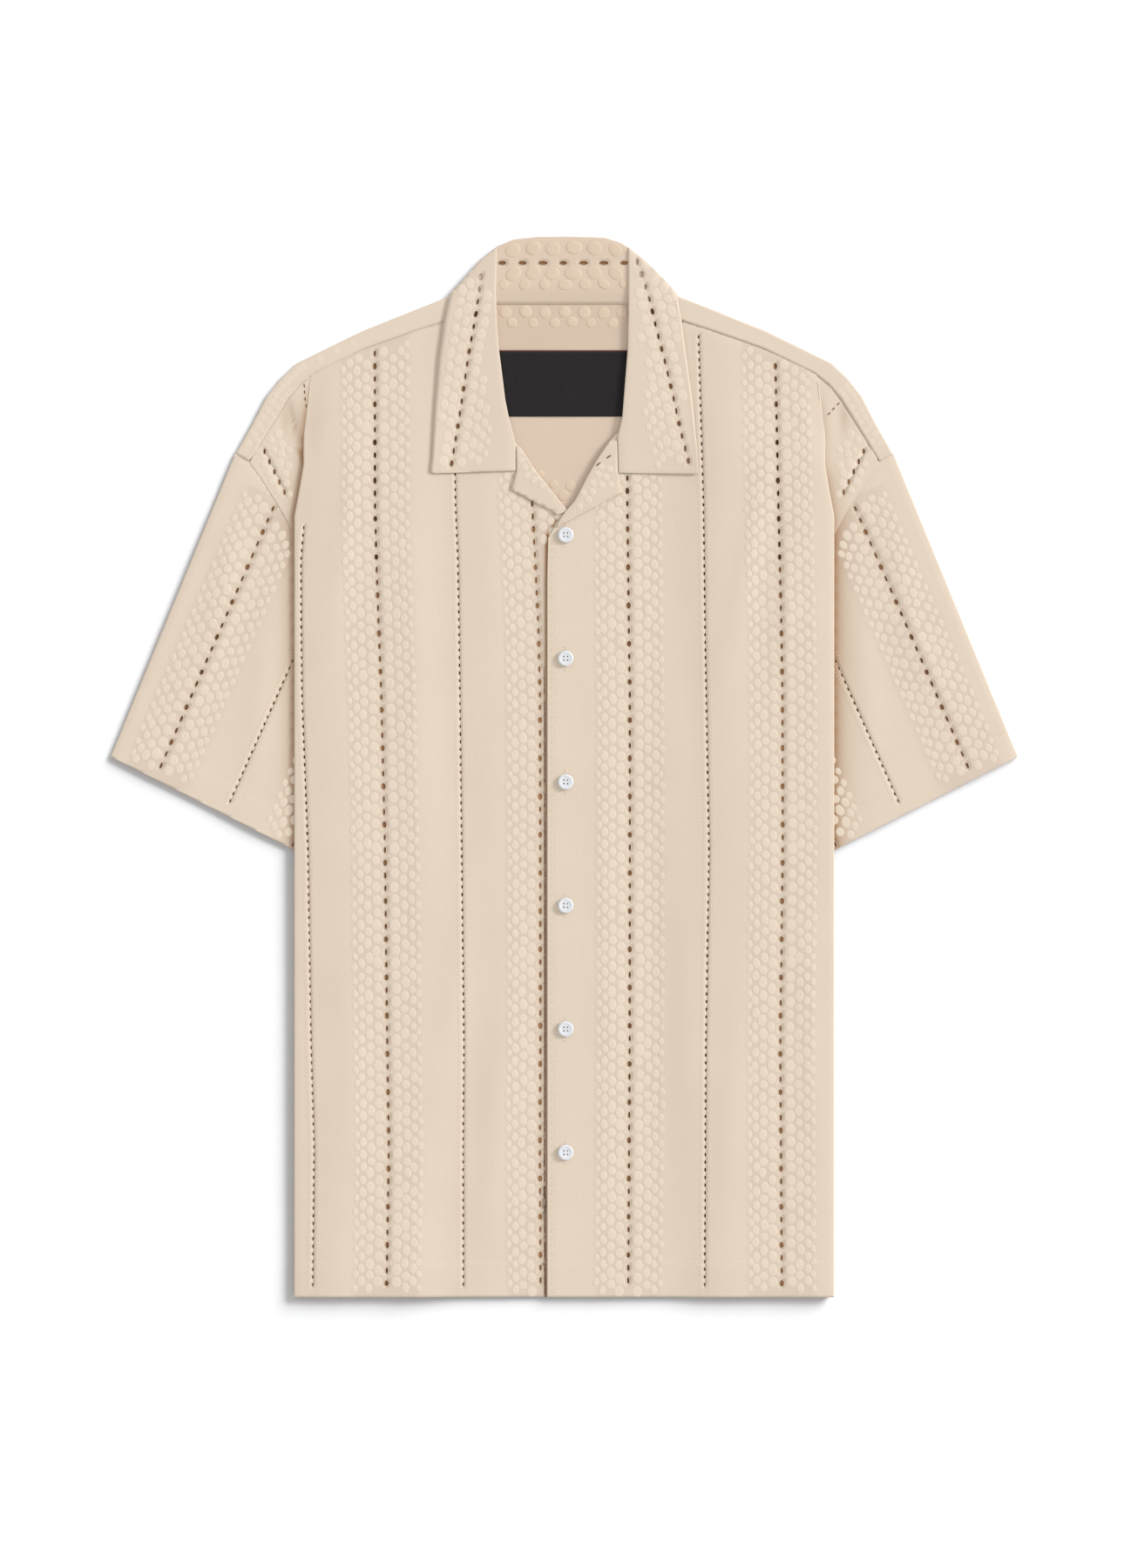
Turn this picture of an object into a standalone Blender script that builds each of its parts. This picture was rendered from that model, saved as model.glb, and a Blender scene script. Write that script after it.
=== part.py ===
"""A short-sleeved camp-collar overshirt in eyelet-embroidered cotton, buttoned and laid flat on its back.

Sizes are in millimetres and become metres when a mesh is made. X runs across the shirt, with the
wearer's left at +X, Y runs from the hem to the collar and Z is up from the surface that it lies on.
Each panel is an open surface, worked out row by row from a short table, with a wall's thickness below it.
"""

import bmesh
import bpy
import numpy as np
from mathutils import Matrix

MM = 0.001

# Cloth: a wall for each layer, with a small gap between the layers and at the seams.
WALL = 1.0
GAP = 0.3
SEAM_GAP = 0.4
LAYER = WALL + GAP
LEAF_CLEARANCE = 0.5
LAPEL_CLEARANCE = 0.4
ROLL_RADIUS = 1.2
ROLL_REACH = (0.0, 0.08, 0.35, 1.0)
ROLL_DROP = (0.9, 0.55, 0.2, 0.0)
ROLL_MOST_SHARE = 0.4
FOLD_FOOT_Z = 0.1
FOLD_THICKNESS = 2.0

# Body: half the width between the folded sides, the hem and the seam of the yoke on the back.
HALF_WIDTH = 195.0
HEM_Y = -383.2
YOKE_SEAM_Y = 211.0
NECKLINE_Y = 335.0
LAP_EDGE_X = -12.4
UNDERLAP_EDGE_X = 14.4

# The folded sides lie between the back and the fronts, and lift the fronts over them.
FOLD_INNER_X = 118.0
LIFT_START_X = 60.0
LIFT_FULL_X = 110.0
LIFT_FULL_Y = 200.0
LIFT_END_Y = 300.0
SIDE_FOLD_ENDS_Y = (250.0, 288.0)
LAP_FLAT_X = 25.0
LAP_SETTLED_X = 75.0

# Sleeves: they pass below the folded sides of the body, down to the hidden edge.
SLEEVE_HIDDEN_X = 184.0
CUFF_OUTER = (328.2, 6.0)
CUFF_BODY = (195.6, -60.5)
HIDDEN_SHARE = (CUFF_OUTER[0] - SLEEVE_HIDDEN_X) / (CUFF_OUTER[0] - CUFF_BODY[0])
SLEEVE_ROWS = 9
UNDER_LAYER_INSET = 0.16

# Eyelets, as width and length: one large and two narrow ones in each repeat of a stripe.
LARGE_EYELET = (3.0, 5.1)
NARROW_EYELET = (1.9, 4.6)
COLLAR_EYELET = (6.2, 3.0)
EYELET_SIDES = 6
EYELET_REPEAT = 27.6
EYELETS_IN_REPEAT = 3
CUT_BELOW_Z = -5.0
CUT_ABOVE_Z = 11.0
OUTER_STRIPE_TOP_Y = 286.0
INNER_STRIPE_TOP_Y = 169.0
STRIPE_BOTTOM_Y = -376.0
COLLAR_EYELET_X = (-45.0, -30.3, -15.6, -0.9, 13.8, 28.5, 43.2)
COLLAR_EYELET_Y = 364.0

# Buttons and label.
BUTTON_X = 1.1
BUTTON_TOP_Y = 167.3
BUTTON_PITCH = 89.2
BUTTON_COUNT = 6
BUTTON_DIAMETER = 11.3
BUTTON_THICKNESS = 2.4
BUTTON_HOLE_DIAMETER = 1.7
BUTTON_HOLE_SPACING = 2.9
BUTTON_SIDES = 20
BUTTON_HOLE_SIDES = 6
BUTTON_EDGE = 0.5
LABEL_SIZE = (93.0, 48.0)
LABEL_CENTRE = (-0.8, 277.0)
LABEL_THICKNESS = 0.8

# The collar behind the neck: its fold's section as shares of the bend, and how far its outer side comes down.
COLLAR_FOLD_INSET = (1.0, 0.29, 0.0, 0.29, 1.0)
COLLAR_FOLD_HEIGHT = (0.0, 0.29, 1.0, 1.71, 2.0)
COLLAR_OVERLAP = 4.0

COTTON = (0.73, 0.62, 0.49)
PEARL = (0.84, 0.85, 0.86)
SATIN = (0.016, 0.014, 0.015)


def table(columns, *rows):
    """The rows of a small table as one array for each named column."""
    return dict(zip(columns.split(), np.array(rows, float).T))


# The shoulder on the +X side, from the sleeve's head to the neck: the outline and the front's seam.
SHOULDER = table(
    "edge_x edge_y seam_x seam_y",
    (237.6, 225.9, 228.3, 220.4),
    (224.7, 248.9, 212.6, 246.2),
    (214.8, 268.0, 199.9, 266.5),
    (204.8, 280.6, 191.2, 276.5),
    (193.2, 291.6, 180.7, 284.7),
    (145.8, 314.8, 144.3, 302.2),
    (104.0, 331.6, 105.5, 315.3),
    (83.0, 339.8, 88.5, 320.7),
)

# The armhole seam on the +X side, from the shoulder down to where the sleeve goes below the body, with
# the place that each point runs to on the cuff: 0 at its outer end and 1 at the body.
ARMHOLE = table(
    "x y cuff",
    (237.7, 225.9, 0.0),
    (227.9, 219.6, 0.1),
    (219.8, 209.5, 0.2),
    (212.8, 198.2, 0.32),
    (207.4, 190.0, 0.44),
    (202.4, 181.5, 0.62),
    (196.0, 170.1, 0.94),
    (SLEEVE_HIDDEN_X, 148.7, HIDDEN_SHARE),
)

# The front's side part beyond its fold: the fold, how far it is tucked below it, and its outer seam.
FRONT_SIDE = table(
    "fold_x fold_y tuck seam_x seam_y",
    (181.2, 280.6, 0.0, 184.9, 280.6),
    (182.4, 276.0, 0.0, 190.9, 276.0),
    (185.5, 263.0, 0.0, 201.2, 263.6),
    (188.1, 243.0, 0.0, 213.9, 243.4),
    (188.8, 226.0, 12.0, 224.4, 226.0),
    (189.2, 219.0, 14.0, 227.5, 220.9),
    (189.6, 210.0, 15.0, 219.4, 209.8),
    (191.6, 200.0, 16.0, 212.6, 198.6),
    (192.8, 191.0, 17.0, 207.0, 190.2),
    (194.6, 182.0, 18.0, 202.1, 181.8),
    (195.0, 170.6, 18.0, 195.7, 170.8),
)

# The outer edge of a front on the +X side: the folded side, the fold by the armhole and the shoulder.
FRONT_OUTER = table(
    "x y",
    (HALF_WIDTH, HEM_Y),
    (HALF_WIDTH, 181.0),
    (191.8, 198.0),
    (188.4, 218.0),
    (188.4, 240.0),
    (185.4, 264.0),
    (180.3, 284.1),
    (143.8, 301.6),
    (105.3, 314.7),
    (88.5, 320.2),
)

# The centre edges of the two fronts, from the hem to the neck.
LEFT_CENTRE = table(
    "x y",
    (LAP_EDGE_X, HEM_Y),
    (LAP_EDGE_X, 151.0),
    (-11.8, 164.7),
    (-8.3, 170.9),
    (-2.8, 179.2),
    (1.9, 185.5),
    (8.5, 193.0),
    (14.8, 206.3),
    (24.3, 223.0),
    (34.1, 237.2),
    (49.9, 252.0),
    (53.7, 301.0),
    (85.5, 320.2),
)
RIGHT_CENTRE = table(
    "x y",
    (UNDERLAP_EDGE_X, HEM_Y),
    (UNDERLAP_EDGE_X, 165.0),
    (10.0, 176.0),
    (1.5, 185.9),
    (-7.4, 197.4),
    (-20.7, 214.2),
    (-33.0, 232.8),
    (-49.5, 245.0),
    (-55.0, 300.0),
    (-85.5, 320.2),
)
FRONT_ROWS_Y = (
    HEM_Y, -250.0, -110.0, 30.0, 130.0, 151.0, 165.0, 171.0, 179.0, 186.0, 193.0, 198.0, 206.0,
    214.0, 223.0, 233.0, 240.0, 252.0, 264.0, 276.0, 284.1, 290.0, 296.0, 301.6, 309.0, 314.7, 320.2,
)

# The collar's leaves: the free edge and the roll edge, from the top to the points.
COLLAR_LEFT = table(
    "edge_x edge_y roll_x roll_y",
    (53.0, 370.3, 46.3, 375.6),
    (60.2, 364.1, 46.3, 362.0),
    (74.0, 350.3, 46.3, 348.0),
    (81.6, 341.0, 46.3, 336.0),
    (84.7, 324.5, 46.3, 322.0),
    (87.9, 299.9, 45.7, 301.0),
    (92.3, 269.0, 43.4, 268.0),
    (95.8, 232.7, 39.0, 240.0),
    (97.0, 211.0, 39.2, 212.2),
)
COLLAR_RIGHT = table(
    "edge_x edge_y roll_x roll_y",
    (-55.0, 370.6, -48.5, 375.8),
    (-60.8, 365.8, -48.5, 363.0),
    (-72.8, 352.2, -49.2, 350.0),
    (-83.0, 339.6, -49.3, 336.0),
    (-87.3, 320.7, -48.5, 318.5),
    (-91.0, 293.2, -46.9, 297.5),
    (-93.6, 258.9, -42.5, 263.5),
    (-95.4, 224.3, -36.4, 236.0),
    (-96.7, 211.8, -35.0, 213.8),
)

# The collar round the back of the neck: the top of its fold across the shirt.
COLLAR_TOP = table(
    "x y",
    (-76.0, 344.5),
    (-62.0, 360.0),
    (-48.5, 376.1),
    (-36.2, 381.2),
    (-19.2, 383.0),
    (5.0, 383.2),
    (29.3, 382.4),
    (41.3, 378.6),
    (47.0, 375.0),
    (61.0, 359.0),
    (75.0, 344.5),
)

# The lapels: the free edge and the roll edge, from the notch down to where the fronts meet.
LAPEL_LEFT = table(
    "edge_x edge_y roll_x roll_y",
    (38.0, 233.5, 33.8, 236.6),
    (38.7, 212.5, 24.3, 223.0),
    (41.7, 198.5, 17.0, 210.2),
    (30.5, 192.0, 12.0, 200.6),
    (19.2, 185.9, 7.6, 192.0),
    (4.1, 178.0, 0.6, 184.2),
    (-4.7, 172.8, -5.2, 175.8),
)
LAPEL_RIGHT = table(
    "edge_x edge_y roll_x roll_y",
    (-34.4, 229.5, -32.4, 232.0),
    (-34.4, 213.4, -21.5, 215.2),
    (-38.7, 200.3, -14.5, 206.4),
    (-23.3, 192.2, -7.6, 197.6),
    (-10.0, 185.4, -2.4, 191.0),
    (-3.0, 180.4, 1.0, 186.5),
)

# The back's outer edge on the +X side, from the hem to the seam of the yoke.
BACK_OUTER = table(
    "x y",
    (193.5, HEM_Y + 1.0),
    (193.5, -76.0),
    (SLEEVE_HIDDEN_X - 0.5, -68.0),
    (SLEEVE_HIDDEN_X - 0.5, 149.6),
    (195.6, 170.7),
    (202.0, 182.1),
    (207.0, 190.6),
    (212.4, 198.8),
    (220.2, YOKE_SEAM_Y),
)

# The yoke's outer edge on the +X side, from its seam with the back to the neck.
YOKE_OUTER = table(
    "x y",
    (220.4, YOKE_SEAM_Y + GAP),
    (227.2, 220.2),
    (235.1, 226.0),
    (222.5, 248.5),
    (212.5, 267.0),
    (203.5, 278.5),
    (191.8, 289.5),
    (145.0, 312.6),
    (103.5, 329.4),
    (83.0, NECKLINE_Y),
)

# The folded side's outer edge on the +X side, from the hem to its top.
FOLD_OUTER = table(
    "x y",
    (193.4, HEM_Y + 0.6),
    (193.4, -76.0),
    (181.5, -66.0),
    (181.5, 60.0),
    (178.0, 148.0),
)

# The centre lines of the wide stripes down the two fronts.
STRIPES = table(
    "y right_outer right_inner left_inner left_outer",
    (-380.0, -128.4, -17.0, 46.2, 157.2),
    (-200.0, -127.8, -17.2, 47.3, 156.0),
    (-60.0, -129.4, -17.3, 47.4, 157.8),
    (50.0, -132.0, -17.5, 47.4, 157.6),
    (100.0, -133.9, -18.6, 46.7, 156.8),
    (190.0, -136.6, -23.2, 45.6, 154.6),
    (300.0, -136.8, -23.4, 45.7, 152.4),
)

# The largest eyelets of a sleeve on the +X side, and of the collar's leaves.
SLEEVE_EYELETS = table(
    "x y",
    (217.4, 170.8),
    (227.3, 145.4),
    (237.6, 120.2),
    (249.4, 95.8),
    (260.6, 70.6),
    (271.6, 45.4),
    (282.7, 20.2),
    (293.0, -4.0),
)
LEAF_EYELETS = table(
    "left_x left_y right_x right_y",
    (60.0, 345.2, -62.7, 335.0),
    (70.4, 308.7, -67.1, 306.8),
    (77.7, 271.6, -73.0, 270.0),
    (83.5, 234.4, -78.7, 233.0),
)


def smooth(value, low, high):
    """0 below low and 1 above high, with an even slope between."""
    share = np.clip((value - low) / (high - low), 0.0, 1.0)
    return share * share * (3.0 - 2.0 * share)


def layer_top(count):
    """The height of the top of so many layers of cloth."""
    return count * WALL + (count - 1) * GAP


def lift(x, y):
    """How far the folded sides raise the fronts: nothing at the centre and at the shoulders."""
    sideways = smooth(np.abs(x), LIFT_START_X, LIFT_FULL_X)
    return (FOLD_THICKNESS + GAP) * sideways * (1.0 - smooth(y, LIFT_FULL_Y, LIFT_END_Y))


def right_front_top(x, y):
    return layer_top(2) + lift(x, y)


def left_front_top(x, y):
    """The left front lies on the right one at the centre, and settles down beside it."""
    return layer_top(2) + LAYER * (1.0 - smooth(x, LAP_FLAT_X, LAP_SETTLED_X)) + lift(x, y)


def level(height):
    """A height that is the same everywhere."""
    return lambda x, y: np.full_like(x, height)


def above(surface, clearance):
    """The top of a wall that lies on another wall's top surface."""
    return lambda x, y: surface(x, y) + clearance + WALL


def rows_between(start, end, columns):
    """Straight rows of points in plan, from the start curve to the end curve."""
    share = np.linspace(0.0, 1.0, columns)[None, :, None]
    return start[:, None, :] * (1.0 - share) + end[:, None, :] * share


def plan(source, x="x", y="y", side=1.0):
    """Two columns of a table as points in plan, mirrored to the -X side where side is -1."""
    return np.stack([side * source[x], source[y]], axis=-1)


def raised(points, top):
    """Points in plan, set on the surface that top gives."""
    return np.dstack([points, top(points[..., 0], points[..., 1])])


def roll_start(points, wall_end=None, share=1.0):
    """Turns the first column down in a quarter round, and in a straight wall to wall_end if that is given.

    share is 1 for the whole drop and 0 for none, as one number or one for each row."""
    edge = points[:, :1]
    along = points[:, 1:2] - edge
    reach = np.linalg.norm(along, axis=-1, keepdims=True)
    radius = np.minimum(ROLL_RADIUS, ROLL_MOST_SHARE * reach)
    drop = (radius[..., 0] * np.reshape(share, (-1, 1)))[..., None]
    rolled = edge + along / reach * np.array(ROLL_REACH)[None, :, None] * radius
    rolled[..., 2:] -= np.array(ROLL_DROP)[None, :, None] * drop
    if wall_end is not None:
        foot = edge.copy()
        foot[..., 2] = wall_end
        rolled = np.concatenate([foot, rolled], axis=1)
    return np.concatenate([rolled, points[:, 1:]], axis=1)


def roll_end(points, share=1.0):
    """The quarter round at the last column."""
    return roll_start(points[:, ::-1], share=share)[:, ::-1]


def material(name, colour, roughness):
    finish = bpy.data.materials.new(name)
    finish.use_nodes = True
    shader = finish.node_tree.nodes["Principled BSDF"]
    shader.inputs["Base Color"].default_value = (*colour, 1.0)
    shader.inputs["Roughness"].default_value = roughness
    shader.inputs["Metallic"].default_value = 0.0
    return finish


def object_of(name, mesh, colour, roughness=0.85, collection="overshirt"):
    piece = bpy.data.objects.new(name, mesh)
    bpy.data.collections[collection].objects.link(piece)
    mesh.materials.append(material(name + "_finish", colour, roughness))
    return piece


def grid_faces(rows, columns):
    """Quads between neighbouring rows and columns, facing up where rows rise in Y and columns in X."""
    corner = np.arange(rows - 1)[:, None] * columns + np.arange(columns - 1)[None, :]
    return np.stack([corner, corner + 1, corner + columns + 1, corner + columns], axis=-1).reshape(-1, 4)


def add_wall(name, points, thickness=WALL, colour=COTTON):
    """A sheet of cloth: its outer surface from rows of points, with the wall's thickness inside it."""
    rows, columns = points.shape[:2]
    faces = grid_faces(rows, columns)
    across = points[0, -1, :2] - points[0, 0, :2] + points[-1, -1, :2] - points[-1, 0, :2]
    onward = points[-1, :, :2].mean(axis=0) - points[0, :, :2].mean(axis=0)
    if across[0] * onward[1] - across[1] * onward[0] < 0.0:
        faces = faces[:, ::-1]
    mesh = bpy.data.meshes.new(name)
    mesh.from_pydata((points.reshape(-1, 3) * MM).tolist(), [], faces.tolist())
    piece = object_of(name, mesh, colour)
    wall = piece.modifiers.new("wall", "SOLIDIFY")
    wall.thickness = thickness * MM
    wall.offset = -1.0
    return piece


def cut_eyelets(piece, centres, sizes, below=CUT_BELOW_Z):
    """Cuts a standing prism with an eyelet's oval outline at each centre, down to the height below."""
    form = bmesh.new()
    depth = CUT_ABOVE_Z - below
    for (x, y), (width, length) in zip(centres, sizes):
        place = Matrix.Translation((x * MM, y * MM, (below + depth / 2.0) * MM))
        oval = Matrix.Diagonal((width * MM / 2.0, length * MM / 2.0, 1.0, 1.0))
        bmesh.ops.create_cone(
            form, cap_ends=True, segments=EYELET_SIDES, radius1=1.0, radius2=1.0,
            depth=depth * MM, matrix=place @ oval,
        )
    mesh = bpy.data.meshes.new(piece.name + "_eyelets")
    form.to_mesh(mesh)
    form.free()
    cutter = object_of(mesh.name, mesh, COTTON, collection="overshirt_cutters")
    cutter.hide_render = True
    cutter.display_type = "WIRE"
    cut = piece.modifiers.new("eyelets", "BOOLEAN")
    cut.operation = "DIFFERENCE"
    cut.object = cutter


def stripes_of(side_name):
    """Centres and sizes of the eyelets of a front's two wide stripes, from the top down."""
    centres = []
    sizes = []
    for place, top in (("outer", OUTER_STRIPE_TOP_Y), ("inner", INNER_STRIPE_TOP_Y)):
        y = np.arange(top, STRIPE_BOTTOM_Y, -EYELET_REPEAT / EYELETS_IN_REPEAT)
        x = np.interp(y, STRIPES["y"], STRIPES[f"{side_name}_{place}"])
        centres += list(zip(x, y))
        sizes += [NARROW_EYELET if index % EYELETS_IN_REPEAT else LARGE_EYELET for index in range(len(y))]
    return centres, sizes


def add_back_and_yoke():
    """The back panel, then the yoke's back part up to the neckline, both flat on the surface."""
    flat = level(layer_top(1))
    for name, outer in (("back", plan(BACK_OUTER)), ("yoke", plan(YOKE_OUTER))):
        start = outer * (-1.0, 1.0)
        add_wall(name, raised(rows_between(start, outer, 2), flat))


def add_front(side_name, centre, side, top):
    """One front: rows across it from its centre edge to its outer edge, which rolls down."""
    y = np.array(FRONT_ROWS_Y)
    inner = np.stack([np.interp(y, centre["y"], centre["x"]), y], axis=-1)
    outer = np.stack([side * np.interp(y, FRONT_OUTER["y"], FRONT_OUTER["x"]), y], axis=-1)
    points = raised(rows_between(inner, outer, 14), top)
    folded = 1.0 - smooth(y, *SIDE_FOLD_ENDS_Y)
    piece = add_wall(f"front_{side_name}", roll_end(points, folded))
    cut_eyelets(piece, *stripes_of(side_name))


def add_front_side(side_name, side):
    """The part of a front beyond its fold, tucked below it and sewn to the yoke and the sleeve."""
    seam = plan(FRONT_SIDE, "seam_x", "seam_y", side)
    tucked = dict(FRONT_SIDE, inner_x=FRONT_SIDE["fold_x"] + SEAM_GAP - FRONT_SIDE["tuck"])
    inner = plan(tucked, "inner_x", "fold_y", side)
    points = raised(rows_between(inner, seam, 5), level(layer_top(2)))
    add_wall(f"front_{side_name}_side", points)


def add_shoulder(side_name, side):
    """The yoke's front band: from the front's seam over the shoulder, where it rolls down to the back."""
    seam = plan(SHOULDER, "seam_x", "seam_y", side)
    edge = plan(SHOULDER, "edge_x", "edge_y", side)
    points = raised(rows_between(edge, seam, 4), level(layer_top(2)))
    add_wall(f"shoulder_{side_name}", roll_start(points, FOLD_FOOT_Z))


def add_sleeve(side_name, side):
    """A sleeve pressed flat: a ruled surface from the armhole to the cuff, in an upper and an under layer."""
    armhole = plan(ARMHOLE) + (SEAM_GAP, -SEAM_GAP)
    share = ARMHOLE["cuff"][:, None]
    cuff = np.array(CUFF_OUTER) * (1.0 - share) + np.array(CUFF_BODY) * share
    along = np.linspace(0.0, 1.0, SLEEVE_ROWS)[:, None, None]
    flat = (armhole * (1.0 - along) + cuff * along) * (side, 1.0)
    upper = roll_start(raised(flat, level(layer_top(2))), FOLD_FOOT_Z)
    piece = add_wall(f"sleeve_{side_name}_upper", upper)
    eyelets = plan(SLEEVE_EYELETS, side=side)
    cut_eyelets(piece, eyelets, [LARGE_EYELET] * len(eyelets))
    under = flat.copy()
    under[:, 0] += (under[:, 1] - under[:, 0]) * UNDER_LAYER_INSET
    add_wall(f"sleeve_{side_name}_under", raised(under, level(layer_top(1))))


def add_side_fold(side_name, side):
    """The folded side of the body: one rounded solid of two layers, with the groove between them showing."""
    outer = FOLD_OUTER["x"][:, None]
    half = FOLD_THICKNESS / 4.0
    insets = np.array([half, 0.0, half, 0.0, half])
    x = np.concatenate([outer - insets, np.broadcast_to(
        FOLD_INNER_X + np.array([half, 0.0, half]), (len(outer), 3))], axis=1)
    z = LAYER + half * np.array([0.0, 1.0, 2.0, 3.0, 4.0, 4.0, 2.0, 0.0])
    rings = np.dstack([side * x, np.broadcast_to(FOLD_OUTER["y"][:, None], x.shape),
                       np.broadcast_to(z, x.shape)])
    rows, columns = rings.shape[:2]
    row = np.arange(rows - 1)[:, None] * columns
    column = np.arange(columns)[None, :]
    following = (column + 1) % columns
    faces = np.stack([row + column, row + following, row + following + columns,
                      row + column + columns], axis=-1).reshape(-1, 4).tolist()
    faces.append(list(range(columns))[::-1])
    faces.append(list(range((rows - 1) * columns, rows * columns)))
    mesh = bpy.data.meshes.new(f"side_fold_{side_name}")
    mesh.from_pydata((rings.reshape(-1, 3) * MM).tolist(), [], faces)
    form = bmesh.new()
    form.from_mesh(mesh)
    bmesh.ops.recalc_face_normals(form, faces=form.faces)
    form.to_mesh(mesh)
    form.free()
    object_of(mesh.name, mesh, COTTON)


def add_collar_back():
    """The collar behind the neck: a strip folded over at its top, with its inner side on the yoke."""
    top = COLLAR_TOP["y"][:, None]
    bend = layer_top(2) / 2.0
    insets = bend * np.array(COLLAR_FOLD_INSET)
    heights = bend * np.array(COLLAR_FOLD_HEIGHT)
    count = len(top)
    y = np.concatenate([np.full((count, 1), NECKLINE_Y + SEAM_GAP), top - insets,
                        np.full((count, 1), NECKLINE_Y - COLLAR_OVERLAP)], axis=1)
    z = np.concatenate([[0.0], heights, [2.0 * bend]])
    points = np.dstack([np.broadcast_to(COLLAR_TOP["x"][:, None], y.shape), y,
                        np.broadcast_to(z, y.shape)])
    piece = add_wall("collar_back", points)
    eyelets = [(x, COLLAR_EYELET_Y) for x in COLLAR_EYELET_X]
    cut_eyelets(piece, eyelets, [COLLAR_EYELET] * len(eyelets), below=WALL + GAP / 2.0)


def add_leaf(name, source, top, eyelets):
    """A leaf of the collar, lying on the shoulder and the front, with its roll edge turned down."""
    edge = plan(source, "edge_x", "edge_y")
    roll = plan(source, "roll_x", "roll_y")
    points = raised(rows_between(edge, roll, 7), above(top, LEAF_CLEARANCE))
    cut_eyelets(add_wall(name, roll_end(points)), eyelets, [LARGE_EYELET] * len(eyelets))


def add_lapel(name, source, top):
    """A lapel: the top of a front turned back over itself along its roll edge."""
    edge = plan(source, "edge_x", "edge_y")
    roll = plan(source, "roll_x", "roll_y")
    points = raised(rows_between(edge, roll, 4), above(top, LAPEL_CLEARANCE))
    add_wall(name, roll_end(points))


def add_label():
    """The woven label inside the neck, bare."""
    half = np.array(LABEL_SIZE) / 2.0
    left = np.array([(-half[0], -half[1]), (-half[0], half[1])]) + LABEL_CENTRE
    points = rows_between(left, left + (LABEL_SIZE[0], 0.0), 2)
    top = level(layer_top(1) + GAP + LABEL_THICKNESS)
    add_wall("label", raised(points, top), thickness=LABEL_THICKNESS, colour=SATIN)


def add_buttons():
    """Six buttons down the front, each a bevelled disc with four holes."""
    form = bmesh.new()
    bmesh.ops.create_cone(
        form, cap_ends=True, segments=BUTTON_SIDES, radius1=BUTTON_DIAMETER / 2.0 * MM,
        radius2=BUTTON_DIAMETER / 2.0 * MM, depth=BUTTON_THICKNESS * MM,
    )
    disc = bpy.data.meshes.new("button_disc")
    form.to_mesh(disc)
    form.free()
    disc.materials.append(material("button_finish", PEARL, 0.25))
    form = bmesh.new()
    for across in (-0.5, 0.5):
        for along in (-0.5, 0.5):
            place = Matrix.Translation(
                (across * BUTTON_HOLE_SPACING * MM, along * BUTTON_HOLE_SPACING * MM, 0.0)
            )
            bmesh.ops.create_cone(
                form, cap_ends=True, segments=BUTTON_HOLE_SIDES,
                radius1=BUTTON_HOLE_DIAMETER / 2.0 * MM, radius2=BUTTON_HOLE_DIAMETER / 2.0 * MM,
                depth=4.0 * BUTTON_THICKNESS * MM, matrix=place,
            )
    holes = bpy.data.meshes.new("button_holes")
    form.to_mesh(holes)
    form.free()
    for index in range(BUTTON_COUNT):
        y = BUTTON_TOP_Y - index * BUTTON_PITCH
        seat = float(left_front_top(np.array(BUTTON_X), np.array(y))) + GAP
        place = (BUTTON_X * MM, y * MM, (seat + BUTTON_THICKNESS / 2.0) * MM)
        piece = bpy.data.objects.new(f"button_{index + 1}", disc)
        bpy.data.collections["overshirt"].objects.link(piece)
        piece.location = place
        cutter = bpy.data.objects.new(f"button_{index + 1}_holes", holes)
        bpy.data.collections["overshirt_cutters"].objects.link(cutter)
        cutter.location = place
        cutter.hide_render = True
        cutter.display_type = "WIRE"
        edge = piece.modifiers.new("edge", "BEVEL")
        edge.width = BUTTON_EDGE * MM
        edge.segments = 2
        cut = piece.modifiers.new("holes", "BOOLEAN")
        cut.operation = "DIFFERENCE"
        cut.object = cutter


def main():
    for old in list(bpy.data.objects):
        bpy.data.objects.remove(old, do_unlink=True)
    for name in ("overshirt", "overshirt_cutters"):
        bpy.context.scene.collection.children.link(bpy.data.collections.new(name))
    add_back_and_yoke()
    add_front("right", RIGHT_CENTRE, -1.0, right_front_top)
    add_front("left", LEFT_CENTRE, 1.0, left_front_top)
    for side_name, side in (("left", 1.0), ("right", -1.0)):
        add_front_side(side_name, side)
        add_shoulder(side_name, side)
        add_sleeve(side_name, side)
        add_side_fold(side_name, side)
    add_collar_back()
    add_leaf("collar_left", COLLAR_LEFT, left_front_top, plan(LEAF_EYELETS, "left_x", "left_y"))
    add_leaf("collar_right", COLLAR_RIGHT, right_front_top, plan(LEAF_EYELETS, "right_x", "right_y"))
    add_lapel("lapel_left", LAPEL_LEFT, left_front_top)
    add_lapel("lapel_right", LAPEL_RIGHT, right_front_top)
    add_label()
    add_buttons()


main()
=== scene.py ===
"""The looks of a short-sleeved camp-collar overshirt in eyelet-embroidered cotton, laid flat on its back.

Sizes are in millimetres until a mesh is made. X runs across the shirt, with the wearer's left at +X,
Y runs from the hem to the collar and Z is up from the surface. Every piece of cloth is a grid of
points in its own flat coordinates, u across it and v along it, and a place function lays it down.
"""

import logging
from dataclasses import dataclass
from enum import Enum
from typing import Callable, Optional

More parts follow.
